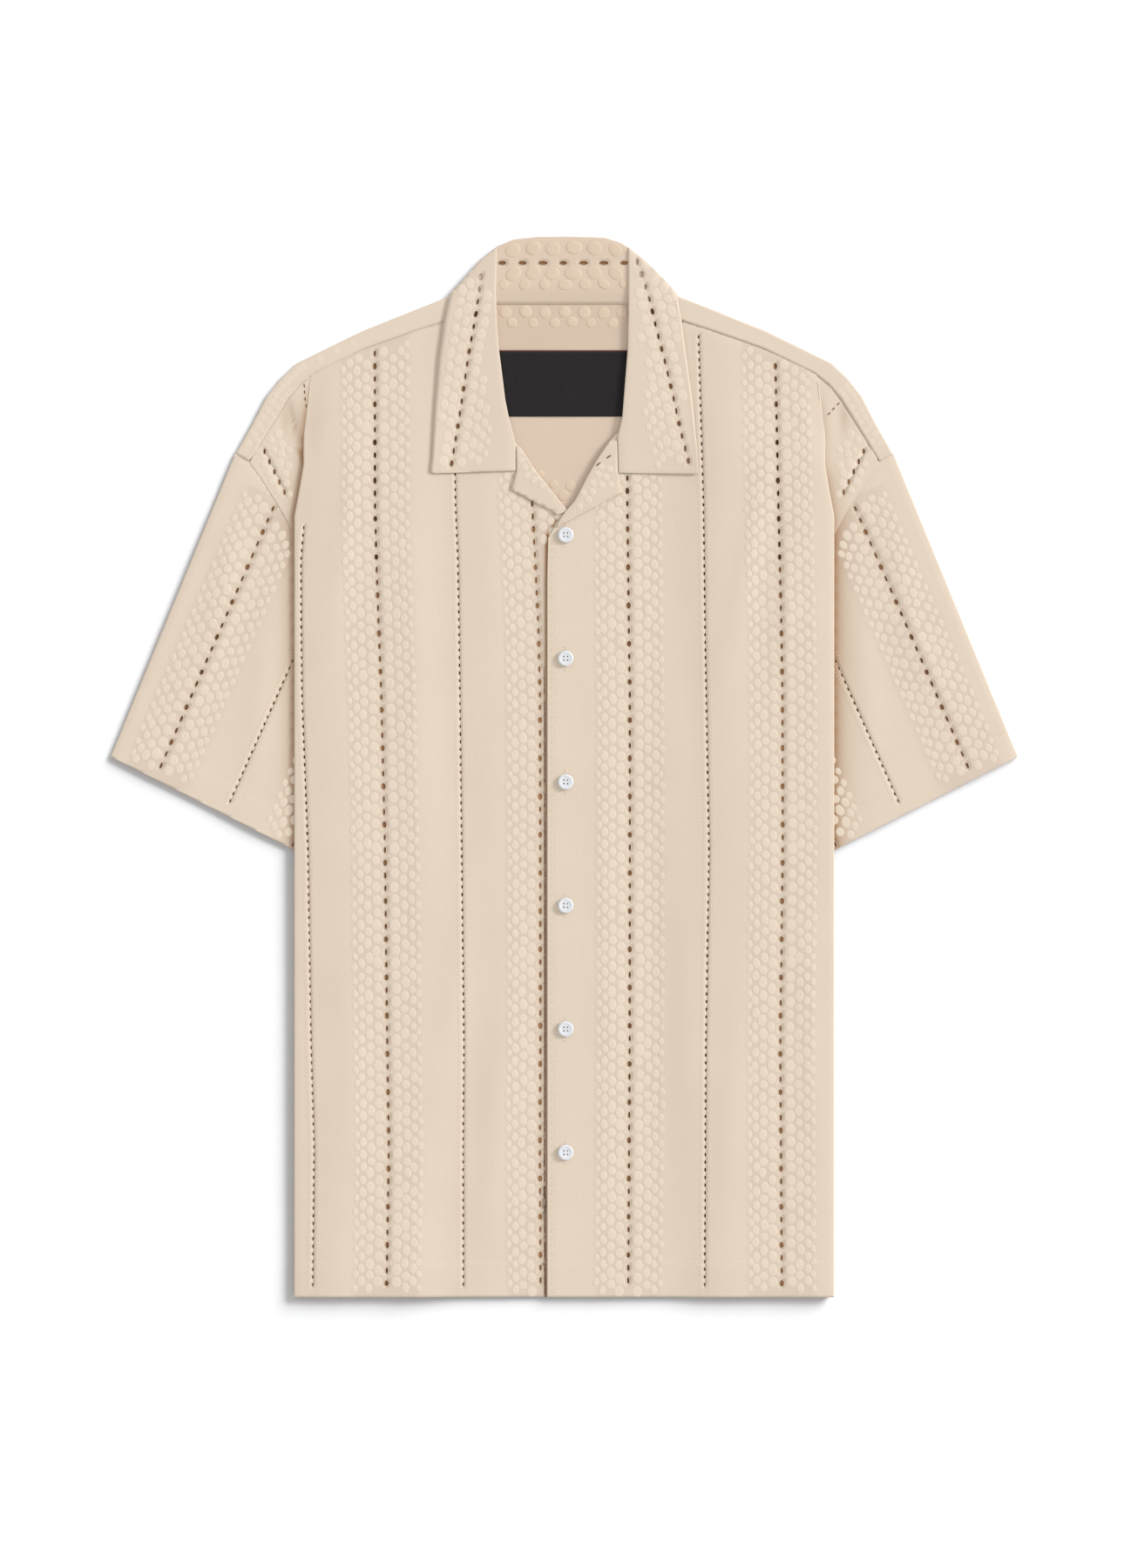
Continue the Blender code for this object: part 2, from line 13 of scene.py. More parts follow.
import bpy
import numpy as np
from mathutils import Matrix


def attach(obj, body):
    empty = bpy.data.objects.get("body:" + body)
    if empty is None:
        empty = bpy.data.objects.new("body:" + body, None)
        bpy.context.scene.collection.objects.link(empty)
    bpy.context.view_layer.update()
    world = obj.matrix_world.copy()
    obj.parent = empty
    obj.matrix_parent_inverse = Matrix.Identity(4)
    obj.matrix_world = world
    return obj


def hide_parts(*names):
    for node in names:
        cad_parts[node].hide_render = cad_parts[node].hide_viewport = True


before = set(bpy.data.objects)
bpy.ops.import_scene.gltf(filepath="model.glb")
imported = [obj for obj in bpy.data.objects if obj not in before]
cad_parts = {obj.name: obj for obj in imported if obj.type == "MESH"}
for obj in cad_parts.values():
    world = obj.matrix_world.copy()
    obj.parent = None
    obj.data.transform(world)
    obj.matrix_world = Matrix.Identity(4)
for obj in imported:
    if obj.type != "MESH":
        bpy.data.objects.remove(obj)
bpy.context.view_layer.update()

MM = 0.001
BODY = "root"
SIDES = (("left", 1.0), ("right", -1.0))
Array = np.ndarray
Place = Callable[[Array, Array], Array]
Height = Callable[[Array, Array], Array]
Line = Callable[[Array], Array]
log = logging.getLogger("overshirt")


def table(columns: str, *rows: tuple) -> dict[str, Array]:
    """The rows of a small table as one array for each named column."""
    return dict(zip(columns.split(), np.array(rows, float).T))


def smooth(value: Array, low: float, high: float) -> Array:
    """0 below low and 1 above high, with an even slope between."""
    share = np.clip((value - low) / (high - low), 0.0, 1.0)
    return share * share * (3.0 - 2.0 * share)


# Outlines on the +X side, shared by both sides of the shirt.
HEM_Y = -383.2
FRONT_TOP = 324.0
NECKLINE_Y = 335.0
YOKE_SEAM_Y = 211.0
YOKE_STITCH_Y = 336.7
FREE_EDGE = -12.4
FREE_EDGE_TOP = 167.0
FRONT_FOLD = table(
    "y x", (HEM_Y, 195.0), (181.0, 195.0), (198.0, 191.8), (218.0, 188.4), (240.0, 188.4),
    (264.0, 185.4), (288.0, 183.0), (330.0, 180.0),
)
SHOULDER_SEAM = table(
    "x y", (88.5, 320.2), (105.3, 315.0), (143.8, 301.4), (152.1, 298.4), (171.2, 290.0), (182.5, 282.2),
    (193.7, 273.2), (201.0, 263.0),
)
SHOULDER = table(
    "edge_x edge_y seam_x seam_y",
    (237.6, 225.9, 227.9, 220.4), (224.7, 248.9, 212.2, 246.2), (214.8, 268.0, 199.6, 266.4),
    (204.8, 280.6, 191.0, 276.4), (193.2, 291.6, 180.5, 284.6), (145.8, 314.8, 144.2, 302.2),
    (104.0, 331.6, 105.7, 315.6), (83.0, 339.8, 88.6, 321.0), (66.0, 347.0, 71.0, 327.5),
)
FRONT_SIDE = table(
    "y inner seam",
    (168.0, 176.0, 195.6), (174.0, 176.0, 198.6), (181.5, 176.0, 202.4), (190.0, 175.5, 207.4),
    (198.2, 175.0, 212.8), (209.5, 174.5, 219.8), (219.6, 175.0, 227.4), (224.6, 175.5, 225.2),
    (236.0, 181.0, 218.3), (243.8, 184.0, 213.3), (263.8, 184.0, 200.7), (273.4, 182.0, 193.4),
    (279.0, 180.0, 187.0), (283.5, 178.0, 181.5),
)
# Dots and slits that follow no stripe, each by its middle and its half size.
FRONT_SIDE_DOTS = table(
    "x y half", (206.6, 240.4, 3.4), (203.9, 232.5, 3.2), (204.8, 225.8, 3.2), (205.9, 219.4, 3.5),
    (199.3, 217.3, 3.0), (211.2, 205.8, 2.9), (198.8, 228.6, 2.6), (201.5, 211.7, 2.9), (207.4, 199.6, 2.6),
    (200.6, 204.8, 2.7), (198.2, 196.8, 2.4), (212.0, 236.0, 2.9), (217.2, 218.6, 2.6), (209.6, 228.6, 2.2),
    (214.0, 212.4, 2.7),
)
# Slits too small to cut, drawn as dark marks of painted shade.
FRONT_SIDE_SLITS = {
    "left": table("x y turn", (197.9, 262.0, 0.75), (194.5, 258.5, 0.75), (191.3, 255.0, 0.75)),
    "right": table("x y turn", (187.8, 275.3, 1.4), (187.6, 270.6, 1.5), (187.2, 265.6, 1.5), (186.4, 260.6, 1.4)),
}
LAPEL_RIGHT_DOTS = table(
    "x y half", (-31.0, 221.0, 2.7), (-28.4, 216.2, 2.6), (-26.7, 210.4, 2.8), (-22.6, 213.8, 2.4),
    (-21.9, 206.9, 2.8), (-17.6, 208.5, 2.3), (-16.1, 202.8, 2.4), (-31.9, 227.0, 2.2),
)
LAPEL_LEFT_DOTS = table(
    "x y half", (24.4, 210.9, 2.6), (29.9, 209.0, 2.8), (27.0, 203.4, 2.7), (20.6, 204.5, 2.6), (20.2, 198.3, 2.7),
    (17.4, 192.6, 2.7), (11.0, 188.0, 2.4), (14.0, 197.6, 2.3), (32.6, 214.8, 2.7), (26.6, 216.6, 2.4),
    (33.5, 203.7, 2.4),
)
# Two more such slits, drawn as marks of painted shade.
LAPEL_LEFT_SLITS = table("x y", (32.1, 223.7), (24.7, 218.3))
YOKE_DOTS = table(
    "x y half", (-42.7, 328.5, 4.7), (-28.0, 329.1, 4.8), (-13.9, 328.2, 4.3), (0.3, 328.8, 4.5), (14.3, 328.4, 4.9),
    (28.4, 328.0, 4.6), (41.9, 328.6, 4.6), (-37.8, 321.0, 3.9), (-22.4, 320.8, 3.7), (-7.1, 320.9, 3.9),
    (5.7, 321.6, 4.0), (19.2, 320.7, 3.6), (35.2, 320.6, 4.0), (-7.9, 204.1, 3.5), (4.6, 202.7, 4.0),
    (-0.6, 195.9, 4.2), (-17.0, 211.6, 2.8),
)
COLLAR_DOTS = table(
    "x y half_x half_y", (-37.2, 373.2, 6.0, 5.2), (-22.4, 374.6, 6.0, 5.3), (-8.4, 374.4, 5.8, 5.3),
    (7.0, 375.0, 6.3, 5.2), (21.7, 374.6, 5.9, 5.3), (37.0, 373.2, 5.6, 4.6), (-36.8, 356.2, 6.6, 5.0),
    (-22.6, 357.0, 5.8, 5.0), (-8.4, 356.4, 5.8, 4.7), (6.4, 356.2, 7.0, 4.8), (21.9, 356.8, 5.9, 5.0),
    (37.0, 356.6, 6.2, 4.6), (-43.9, 348.6, 4.0, 3.6), (-28.6, 348.2, 4.4, 3.7), (-14.5, 348.4, 3.8, 3.9),
    (0.3, 348.2, 5.4, 3.9), (14.9, 348.4, 4.6, 4.0), (28.4, 348.6, 5.0, 3.4), (42.6, 349.0, 3.6, 3.4),
)
ARMHOLE = table(
    "u v", (0.0, 2.2), (12.2, 4.3), (23.4, 10.6), (33.9, 18.5), (42.1, 23.9), (50.0, 30.1), (60.2, 38.1),
    (72.0, 46.0), (172.0, 289.7),
)
BACK_SIDE = table(
    "y x", (HEM_Y + 1.0, 193.5), (-76.0, 193.5), (-68.0, 183.5), (164.5, 183.5), (180.4, 196.4),
    (192.4, 202.2), (YOKE_SEAM_Y, 214.0),
)
SIDE_FOLD = table("y x", (HEM_Y + 0.6, 193.4), (-76.0, 193.4), (-66.0, 181.5), (60.0, 181.5), (148.0, 178.0))
BUTTON_PROFILE = table(
    "r share", (3.0, 0.85), (3.5, 0.88), (3.9, 0.96), (4.4, 1.0), (4.9, 0.97), (5.35, 0.86), (5.6, 0.68),
    (5.65, 0.5), (5.5, 0.25), (5.0, 0.08), (4.2, 0.0))
YOKE_TOP = table(
    "x y", (-233.5, 229.0), (-222.5, 248.5), (-212.5, 267.0), (-203.5, 278.5), (-191.8, 289.5),
    (-145.0, 312.6), (-103.5, 329.4), (-83.0, NECKLINE_Y), (83.0, NECKLINE_Y), (103.5, 329.4),
    (145.0, 312.6), (191.8, 289.5), (203.5, 278.5), (212.5, 267.0), (222.5, 248.5), (233.5, 229.0),
)
COLLAR_TOP = table(
    "x y", (-76.0, 344.5), (-62.0, 360.0), (-48.5, 376.1), (-36.2, 381.2), (-19.2, 383.0),
    (5.0, 383.2), (29.3, 382.4), (41.3, 378.6), (47.0, 375.0), (61.0, 359.0), (75.0, 344.5),
)


@dataclass(frozen=True)
class Crease:
    """A soft ridge in the cloth, from one point to another, fading at both ends."""

    start: tuple[float, float]
    end: tuple[float, float]
    height: float
    width: float

    def rise(self, x: Array, y: Array) -> Array:
        """Its height: a bell across the line, times a smooth rise and fall along it.

        Args:
            x, y: Places in plan.
        Returns:
            The height there, in millimetres.
        """
        start, run = np.array(self.start), np.array(self.end) - np.array(self.start)
        length = float(np.hypot(*run))
        along = ((x - start[0]) * run[0] + (y - start[1]) * run[1]) / length
        across = ((y - start[1]) * run[0] - (x - start[0]) * run[1]) / length
        share = np.clip(along / length, 0.0, 1.0)
        return self.height * np.exp(-((across / self.width) ** 2)) * np.sin(np.pi * share) ** 1.5


BODY_CREASES = (
    Crease((150.0, 250.0), (118.0, 60.0), 1.1, 9.0),
    Crease((168.0, 200.0), (150.0, 20.0), 0.7, 8.0),
    Crease((-150.0, 262.0), (-168.0, 60.0), 0.9, 9.0),
    Crease((-112.0, 190.0), (-100.0, -60.0), 0.6, 12.0),
    Crease((-60.0, -20.0), (-96.0, -300.0), 0.9, 12.0),
    Crease((-42.0, -140.0), (-58.0, -370.0), 0.7, 10.0),
    Crease((86.0, -60.0), (92.0, -350.0), 0.9, 12.0),
    Crease((70.0, 130.0), (84.0, -40.0), 0.5, 11.0),
    Crease((128.0, -120.0), (112.0, -372.0), 0.7, 10.0),
    Crease((-158.0, -80.0), (-150.0, -340.0), 0.7, 10.0),
    Crease((172.0, -60.0), (180.0, -300.0), 0.6, 8.0),
    Crease((18.0, 60.0), (30.0, -220.0), 0.4, 9.0),
)
SHOULDER_TUCK = Crease((190.0, 276.0), (188.0, 206.0), 0.5, 4.5)
SHOULDER_VALLEY = Crease((200.0, 272.0), (188.0, 212.0), -0.7, 1.9)
SLEEVE_CREASES = (
    Crease((228.0, 210.0), (262.0, 60.0), 0.9, 10.0),
    Crease((204.0, 150.0), (226.0, -10.0), 1.0, 10.0),
    Crease((236.0, 120.0), (292.0, 20.0), 0.7, 12.0),
)


def below_collar(x: Array, y: Array) -> Array:
    """Where a leaf of the collar covers a layer, with a soft border; there the cloth takes a painted shade.

    Args:
        x, y: Places in plan.
    Returns:
        1 below a leaf, and 0 elsewhere.
    """
    outer = np.interp(y, [216.0, 340.0], [93.0, 78.0])
    inside = smooth(outer - np.abs(x), 0.0, 2.0) * smooth(np.abs(x), 50.0, 54.0)
    return inside * smooth(y, 215.0, 218.0)


@dataclass(frozen=True)
class Lie:
    """How the layers lie on each other: the height of the top of each one at any place in plan."""

    wall: float = 1.0
    gap: float = 0.3
    fold: float = 2.0
    lift_x: tuple[float, float] = (60.0, 110.0)
    lift_y: tuple[float, float] = (200.0, 300.0)
    lap_x: tuple[float, float] = (25.0, 75.0)

    def level(self, count: int) -> float:
        """The top of so many layers."""
        return count * self.wall + (count - 1) * self.gap

    def lift(self, x: Array, y: Array) -> Array:
        """The rise of the fronts over the folded sides: a smooth step in x that fades out upwards."""
        rise = smooth(np.abs(x), *self.lift_x) * (1.0 - smooth(y, *self.lift_y))
        return (self.fold + self.gap) * rise

    def ripple(self, x: Array, y: Array) -> Array:
        """The body's soft waves: long sines across it plus the creases, all at or above the layer.

        Args:
            x, y: Places in plan.
        Returns:
            Their height, which fades out at the shoulders and beside the free edge.
        """
        ripple = 1.0 + np.sin(x / 9.2 + 1.3 * np.sin(y / 95.0))
        wave = 0.3 * ripple * (0.7 + 0.3 * np.sin(y / 60.0 + x / 30.0))
        wave = wave + 0.14 * (1.0 + np.sin(y / 41.0 + x / 60.0))
        wave = wave + sum(crease.rise(x, y) for crease in BODY_CREASES)
        return wave * (1.0 - smooth(y, 250.0, 300.0)) * smooth(np.abs(x + 1.0), 12.0, 40.0)

    def right_front(self, x: Array, y: Array) -> Array:
        """The top of the right front: the second layer, with its lift and waves."""
        return self.level(2) + self.lift(x, y) + self.ripple(x, y)

    def left_front(self, x: Array, y: Array) -> Array:
        """The top of the left front, one layer higher where it laps over the right one."""
        lap = (self.wall + self.gap) * (1.0 - smooth(x, *self.lap_x))
        return self.level(2) + lap + self.lift(x, y) + self.ripple(x, y)

    def sleeve(self, x: Array, y: Array) -> Array:
        """The top of a sleeve, with waves that leave it flat by the seam and the body.

        Args:
            x, y: Places in plan.
        Returns:
            Its height.
        """
        away = smooth(np.abs(x), 196.0, 226.0)
        wave = 0.2 * (1.0 + np.sin(np.abs(x) / 15.0 + y / 55.0))
        wave = wave + sum(crease.rise(np.abs(x), y) for crease in SLEEVE_CREASES)
        return self.level(2) + wave * away * (1.0 - smooth(y, 150.0, 200.0))


LIE = Lie()


class Socket:
    """A socket's value in a shader, with Python's operators as Math nodes."""

    def __init__(self, maker: "Shader", link: object) -> None:
        """Wraps an output socket.

        Args:
            maker: The shader that nodes are added to.
            link: The output socket.
        """
        self.maker = maker
        self.link = link

    def _math(self, operation: str, *values: object) -> "Socket":
        """The output of one Math node with this operation and these inputs."""
        return self.maker.node("ShaderNodeMath", {"operation": operation}, dict(enumerate(values)))

    def __add__(self, other: object) -> "Socket":
        """The sum."""
        return self._math("ADD", self, other)

    def __sub__(self, other: object) -> "Socket":
        """The difference."""
        return self._math("SUBTRACT", self, other)

    def __rsub__(self, other: object) -> "Socket":
        """The difference, turned round."""
        return self._math("SUBTRACT", other, self)

    def __mul__(self, other: object) -> "Socket":
        """The product."""
        return self._math("MULTIPLY", self, other)

    __radd__ = __add__
    __rmul__ = __mul__

    def sine(self) -> "Socket":
        """The sine."""
        return self._math("SINE", self)

    def at_most(self, other: object) -> "Socket":
        """The smaller of the two."""
        return self._math("MINIMUM", self, other)


class Shader:
    """A new material and the nodes that make it."""

    def __init__(self, name: str, roughness: float, **constants: float) -> None:
        """Starts a Principled shader with the constants that don't vary.

        Args:
            name: The material's name.
            roughness: The roughness all over.
            constants: Other sockets' values, by their names with underscores.
        """
        self.material = bpy.data.materials.new(name)
        self.material.use_nodes = True
        self.tree = self.material.node_tree
        self.principled = self.tree.nodes["Principled BSDF"]
        self.principled.inputs["Roughness"].default_value = roughness
        for key, value in constants.items():
            self.principled.inputs[key.replace("_", " ")].default_value = value

    def node(self, kind: str, settings: dict, inputs: dict, output: object = 0) -> Socket:
        """Adds a node.

        Args:
            kind: The node's type.
            settings: Its attributes, set first.
            inputs: Values or sockets for its inputs, by name or number.
            output: The name or number of the output that is wanted.
        Returns:
            That output.
        """
        made = self.tree.nodes.new(kind)
        for key, value in settings.items():
            setattr(made, key, value)
        for key, value in inputs.items():
            if isinstance(value, Socket):
                self.tree.links.new(value.link, made.inputs[key])
            else:
                made.inputs[key].default_value = value
        return Socket(self, made.outputs[output])

    def uv(self, name: str) -> Socket:
        """The piece's own UV map of that name, in metres."""
        return self.node("ShaderNodeUVMap", {"uv_map": name}, {})

    def axis(self, vector: Socket, which: str) -> Socket:
        """One number of a vector."""
        return self.node("ShaderNodeSeparateXYZ", {}, {0: vector}, which)

    def noise(self, vector: Socket, scale: float, detail: float = 2.0) -> Socket:
        """Noise from 0 to 1 on a vector."""
        return self.node("ShaderNodeTexNoise", {}, {"Vector": vector, "Scale": scale, "Detail": detail})

    def stretch(self, vector: Socket, factors: tuple[float, float, float]) -> Socket:
        """A vector with its axes scaled."""
        return self.node("ShaderNodeVectorMath", {"operation": "MULTIPLY"}, {0: vector, 1: factors})

    def mix(self, share: object, first: object, second: object) -> Socket:
        """A colour between two others."""
        return self.node("ShaderNodeMix", {"data_type": "RGBA"}, {0: share, 6: first, 7: second}, 2)

    def attribute(self, name: str) -> Socket:
        """A number that the mesh carries at each point."""
        return self.node("ShaderNodeAttribute", {"attribute_name": name}, {}, "Fac")

    def finish(self, colour: Socket, height: Optional[Socket] = None, depth: float = 0.1) -> bpy.types.Material:
        """Links the colour and the relief.

        Args:
            colour: The base colour.
            height: The relief from 0 to 1.
            depth: How deep 1 is, in millimetres.
        Returns:
            The finished material.
        """
        self.tree.links.new(colour.link, self.principled.inputs["Base Color"])
        if height is not None:
            bump = self.node("ShaderNodeBump", {}, {"Distance": depth * MM, "Height": height})
            self.tree.links.new(bump.link, self.principled.inputs["Normal"])
        return self.material


def rgb(red: float, green: float, blue: float) -> tuple[float, float, float, float]:
    """A colour from the eye's scale of 0 to 255, made linear.

    Args:
        red, green, blue: From 0 to 255.
    Returns:
        The linear colour, opaque.
    """
    share = np.array([red, green, blue]) / 255.0
    linear = np.where(share <= 0.04045, share / 12.92, ((share + 0.055) / 1.055) ** 2.4)
    return (*[float(value) for value in linear], 1.0)


# Painted shade: the brown that cotton takes in the shade of another layer.
SHADE = rgb(166, 122, 84)


class Tone(Enum):
    """The light and dark tones that the same cotton shows in different places, with SHADED as a painted shade."""

    OUTSIDE = (rgb(231, 216, 197), rgb(211, 194, 176))
    INSIDE = (rgb(226, 206, 187), rgb(211, 190, 170))
    # Painted shade: the brown of cloth hidden between layers, seen through the eyelets.
    SHADED = (rgb(212, 162, 118), rgb(198, 148, 104))


@dataclass(frozen=True)
class CottonFinish:
    """Plain-woven cotton: crossing threads, slubs, faint patches of tone and a painted shade."""

    name: str
    tone: Tone
    thread: float = 0.00046

    def build(self) -> bpy.types.Material:
        """The relief is the sum of two sines, one along each thread direction, and of stretched noise.

        Returns:
            The material.
        """
        shader = Shader(self.name, 0.88, Sheen_Weight=0.12, Sheen_Roughness=0.5)
        flat = shader.uv("cut")
        turn = 2.0 * np.pi / self.thread
        weave = (shader.axis(flat, "X") * turn).sine() + (shader.axis(flat, "Y") * turn).sine()
        slub = shader.noise(shader.stretch(flat, (900.0, 60.0, 1.0)), 1.0)
        slub_across = shader.noise(shader.stretch(flat, (50.0, 800.0, 1.0)), 1.0)
        patch = shader.noise(flat, 22.0, 3.0)
        light, dark = self.tone.value
        mask = shader.attribute("tone") * 0.55 + patch * 0.35 + slub * 0.08 + slub_across * 0.08
        colour = shader.mix(mask.at_most(1.0), light, dark)
        # Painted shade: the shade attribute mixes in the brown of SHADE.
        colour = shader.mix(shader.attribute("shade"), colour, SHADE)
        return shader.finish(colour, weave * 0.12 + slub * 0.5 + slub_across * 0.5, 0.12)


@dataclass(frozen=True)
class ThreadFinish:
    """Satin-stitched thread: fine parallel ridges across each shape."""

    name: str
    light: tuple[float, float, float, float]
    dark: tuple[float, float, float, float]
    roughness: float = 0.62
    thread: float = 0.00042
    depth: float = 0.05

    def build(self) -> bpy.types.Material:
        """The relief is a sine across the threads, bent a little by noise.

        Returns:
            The material.
        """
        shader = Shader(self.name, self.roughness, Sheen_Weight=0.1)
        flat = shader.uv("thread")
        bend = shader.noise(flat, 700.0)
        ridge = (shader.axis(flat, "X") * (2.0 * np.pi / self.thread) + bend * 3.0).sine() * 0.5 + 0.5
        # Lighter on the thread crests and darker in the grooves, a painted sheen and shade, plus random tone from
        # noise.
        colour = shader.mix(ridge * 0.5 + shader.noise(flat, 90.0) * 0.5, self.dark, self.light)
        return shader.finish(colour, ridge, self.depth)


@dataclass(frozen=True)
class LabelFinish:
    """Black damask, with a dull rose edge along its top."""

    name: str = "label_damask"
    ground: tuple[float, float, float, float] = rgb(27, 24, 25)
    glint: tuple[float, float, float, float] = rgb(34, 31, 32)
    edge: tuple[float, float, float, float] = rgb(128, 82, 74)
    twill: float = 0.0005

    def build(self) -> bpy.types.Material:
        """The edge colour is mixed in by the tone that the mesh carries, and the relief is a fine twill.

        Returns:
            The material.
        """
        shader = Shader(self.name, 0.6, Specular_IOR_Level=0.2)
        flat = shader.uv("cut")
        twill = ((shader.axis(flat, "X") + shader.axis(flat, "Y")) * (2.0 * np.pi / self.twill)).sine()
        # Painted glint: lighter in soft patches and faintly along the twill.
        ground = shader.mix(twill * 0.25 + shader.noise(flat, 300.0), self.ground, self.glint)
        colour = shader.mix(shader.attribute("tone"), ground, self.edge)
        return shader.finish(colour, twill * 0.5 + 0.5, 0.08)


@dataclass(frozen=True)
class PearlFinish:
    """White pearl for the buttons: faint cloudy bands below a clear gloss."""

    name: str = "button_pearl"

    def build(self) -> bpy.types.Material:
        """Cloudy noise on the object's own coordinates shifts the white a little.

        Returns:
            The material.
        """
        shader = Shader(self.name, 0.22, Coat_Weight=0.4, Coat_Roughness=0.1)
        place = shader.node("ShaderNodeTexCoord", {}, {}, "Object")
        cloud = shader.noise(place, 240.0, 3.0)
        return shader.finish(shader.mix(cloud, rgb(238, 240, 243), rgb(216, 221, 229)), cloud, 0.03)


@dataclass(frozen=True)
class FloorFinish:
    """A plain white floor."""

    name: str = "floor_paper"

    def build(self) -> bpy.types.Material:
        """Almost pure white, with the faintest grain.

        Returns:
            The material.
        """
        shader = Shader(self.name, 0.9)
        place = shader.node("ShaderNodeTexCoord", {}, {}, "Object")
        grain = shader.noise(place, 90.0)
        return shader.finish(shader.mix(grain, rgb(206, 207, 209), rgb(203, 204, 206)))


class Palette:
    """The finishes, each built once."""

    def __init__(self) -> None:
        """Builds every material."""
        self.cotton = CottonFinish("cotton", Tone.OUTSIDE).build()
        self.inside = CottonFinish("cotton_inside", Tone.INSIDE).build()
        # Painted shade for the faces that lie between the layers.
        self.shaded = CottonFinish("cotton_painted_shade_between_layers", Tone.SHADED).build()
        self.dots = ThreadFinish("satin_stitch", rgb(233, 218, 199), rgb(225, 209, 190), depth=0.03).build()
        self.dots_inside = ThreadFinish(
            "satin_stitch_inside", rgb(234, 213, 191), rgb(212, 189, 165), thread=0.0007, depth=0.08).build()
        self.rim = ThreadFinish("eyelet_overcast", rgb(233, 215, 193), rgb(212, 190, 165)).build()
        self.stitch = ThreadFinish("sewing_thread", rgb(242, 228, 210), rgb(218, 199, 178)).build()
        self.pearl_thread = ThreadFinish("button_thread", rgb(232, 232, 234), rgb(214, 214, 218)).build()
        # Painted shade: dark brown marks that stand in for the inside of small slits.
        self.slit = ThreadFinish("painted_shade_in_slit", rgb(132, 98, 68), rgb(110, 80, 54)).build()
        self.label = LabelFinish().build()
        self.pearl = PearlFinish().build()


def make_object(name: str, points: Array, faces: list[Array], material: bpy.types.Material) -> bpy.types.Object:
    """A smooth mesh object from points in millimetres.

    Args:
        name: The piece's name.
        points: Its points, three numbers each.
        faces: Arrays of point numbers, one array for each count of corners.
        material: Its finish.
    Returns:
        The object, linked to the scene.
    """
    mesh = bpy.data.meshes.new(name)
    mesh.from_pydata((points * MM).tolist(), [], [face for group in faces for face in group.tolist()])
    mesh.polygons.foreach_set("use_smooth", np.ones(len(mesh.polygons), bool))
    mesh.materials.append(material)
    made = bpy.data.objects.new(name, mesh)
    bpy.context.scene.collection.objects.link(made)
    return made


def add_uv(made: bpy.types.Object, name: str, flat: Array) -> None:
    """Gives each corner its point's flat coordinates.

    Args:
        made: The object.
        name: The UV map's name.
        flat: Two numbers for each point, in millimetres.
    """
    corners = np.empty(len(made.data.loops), np.int32)
    made.data.loops.foreach_get("vertex_index", corners)
    layer = made.data.uv_layers.new(name=name)
    layer.data.foreach_set("uv", (flat[corners] * MM).astype(np.float32).ravel())


def publish(made: bpy.types.Object, slot: str, *replaced: str) -> bpy.types.Object:
    """Lets a piece ride on the body and hides the nodes that it stands for.

    Args:
        made: The piece.
        slot: The record's material slot; not used.
        replaced: The nodes.
    Returns:
        The piece.
    """
    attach(made, BODY)
    if replaced:
        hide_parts(*replaced)
    log.info("%s: %d faces", made.name, len(made.data.polygons))
    return made


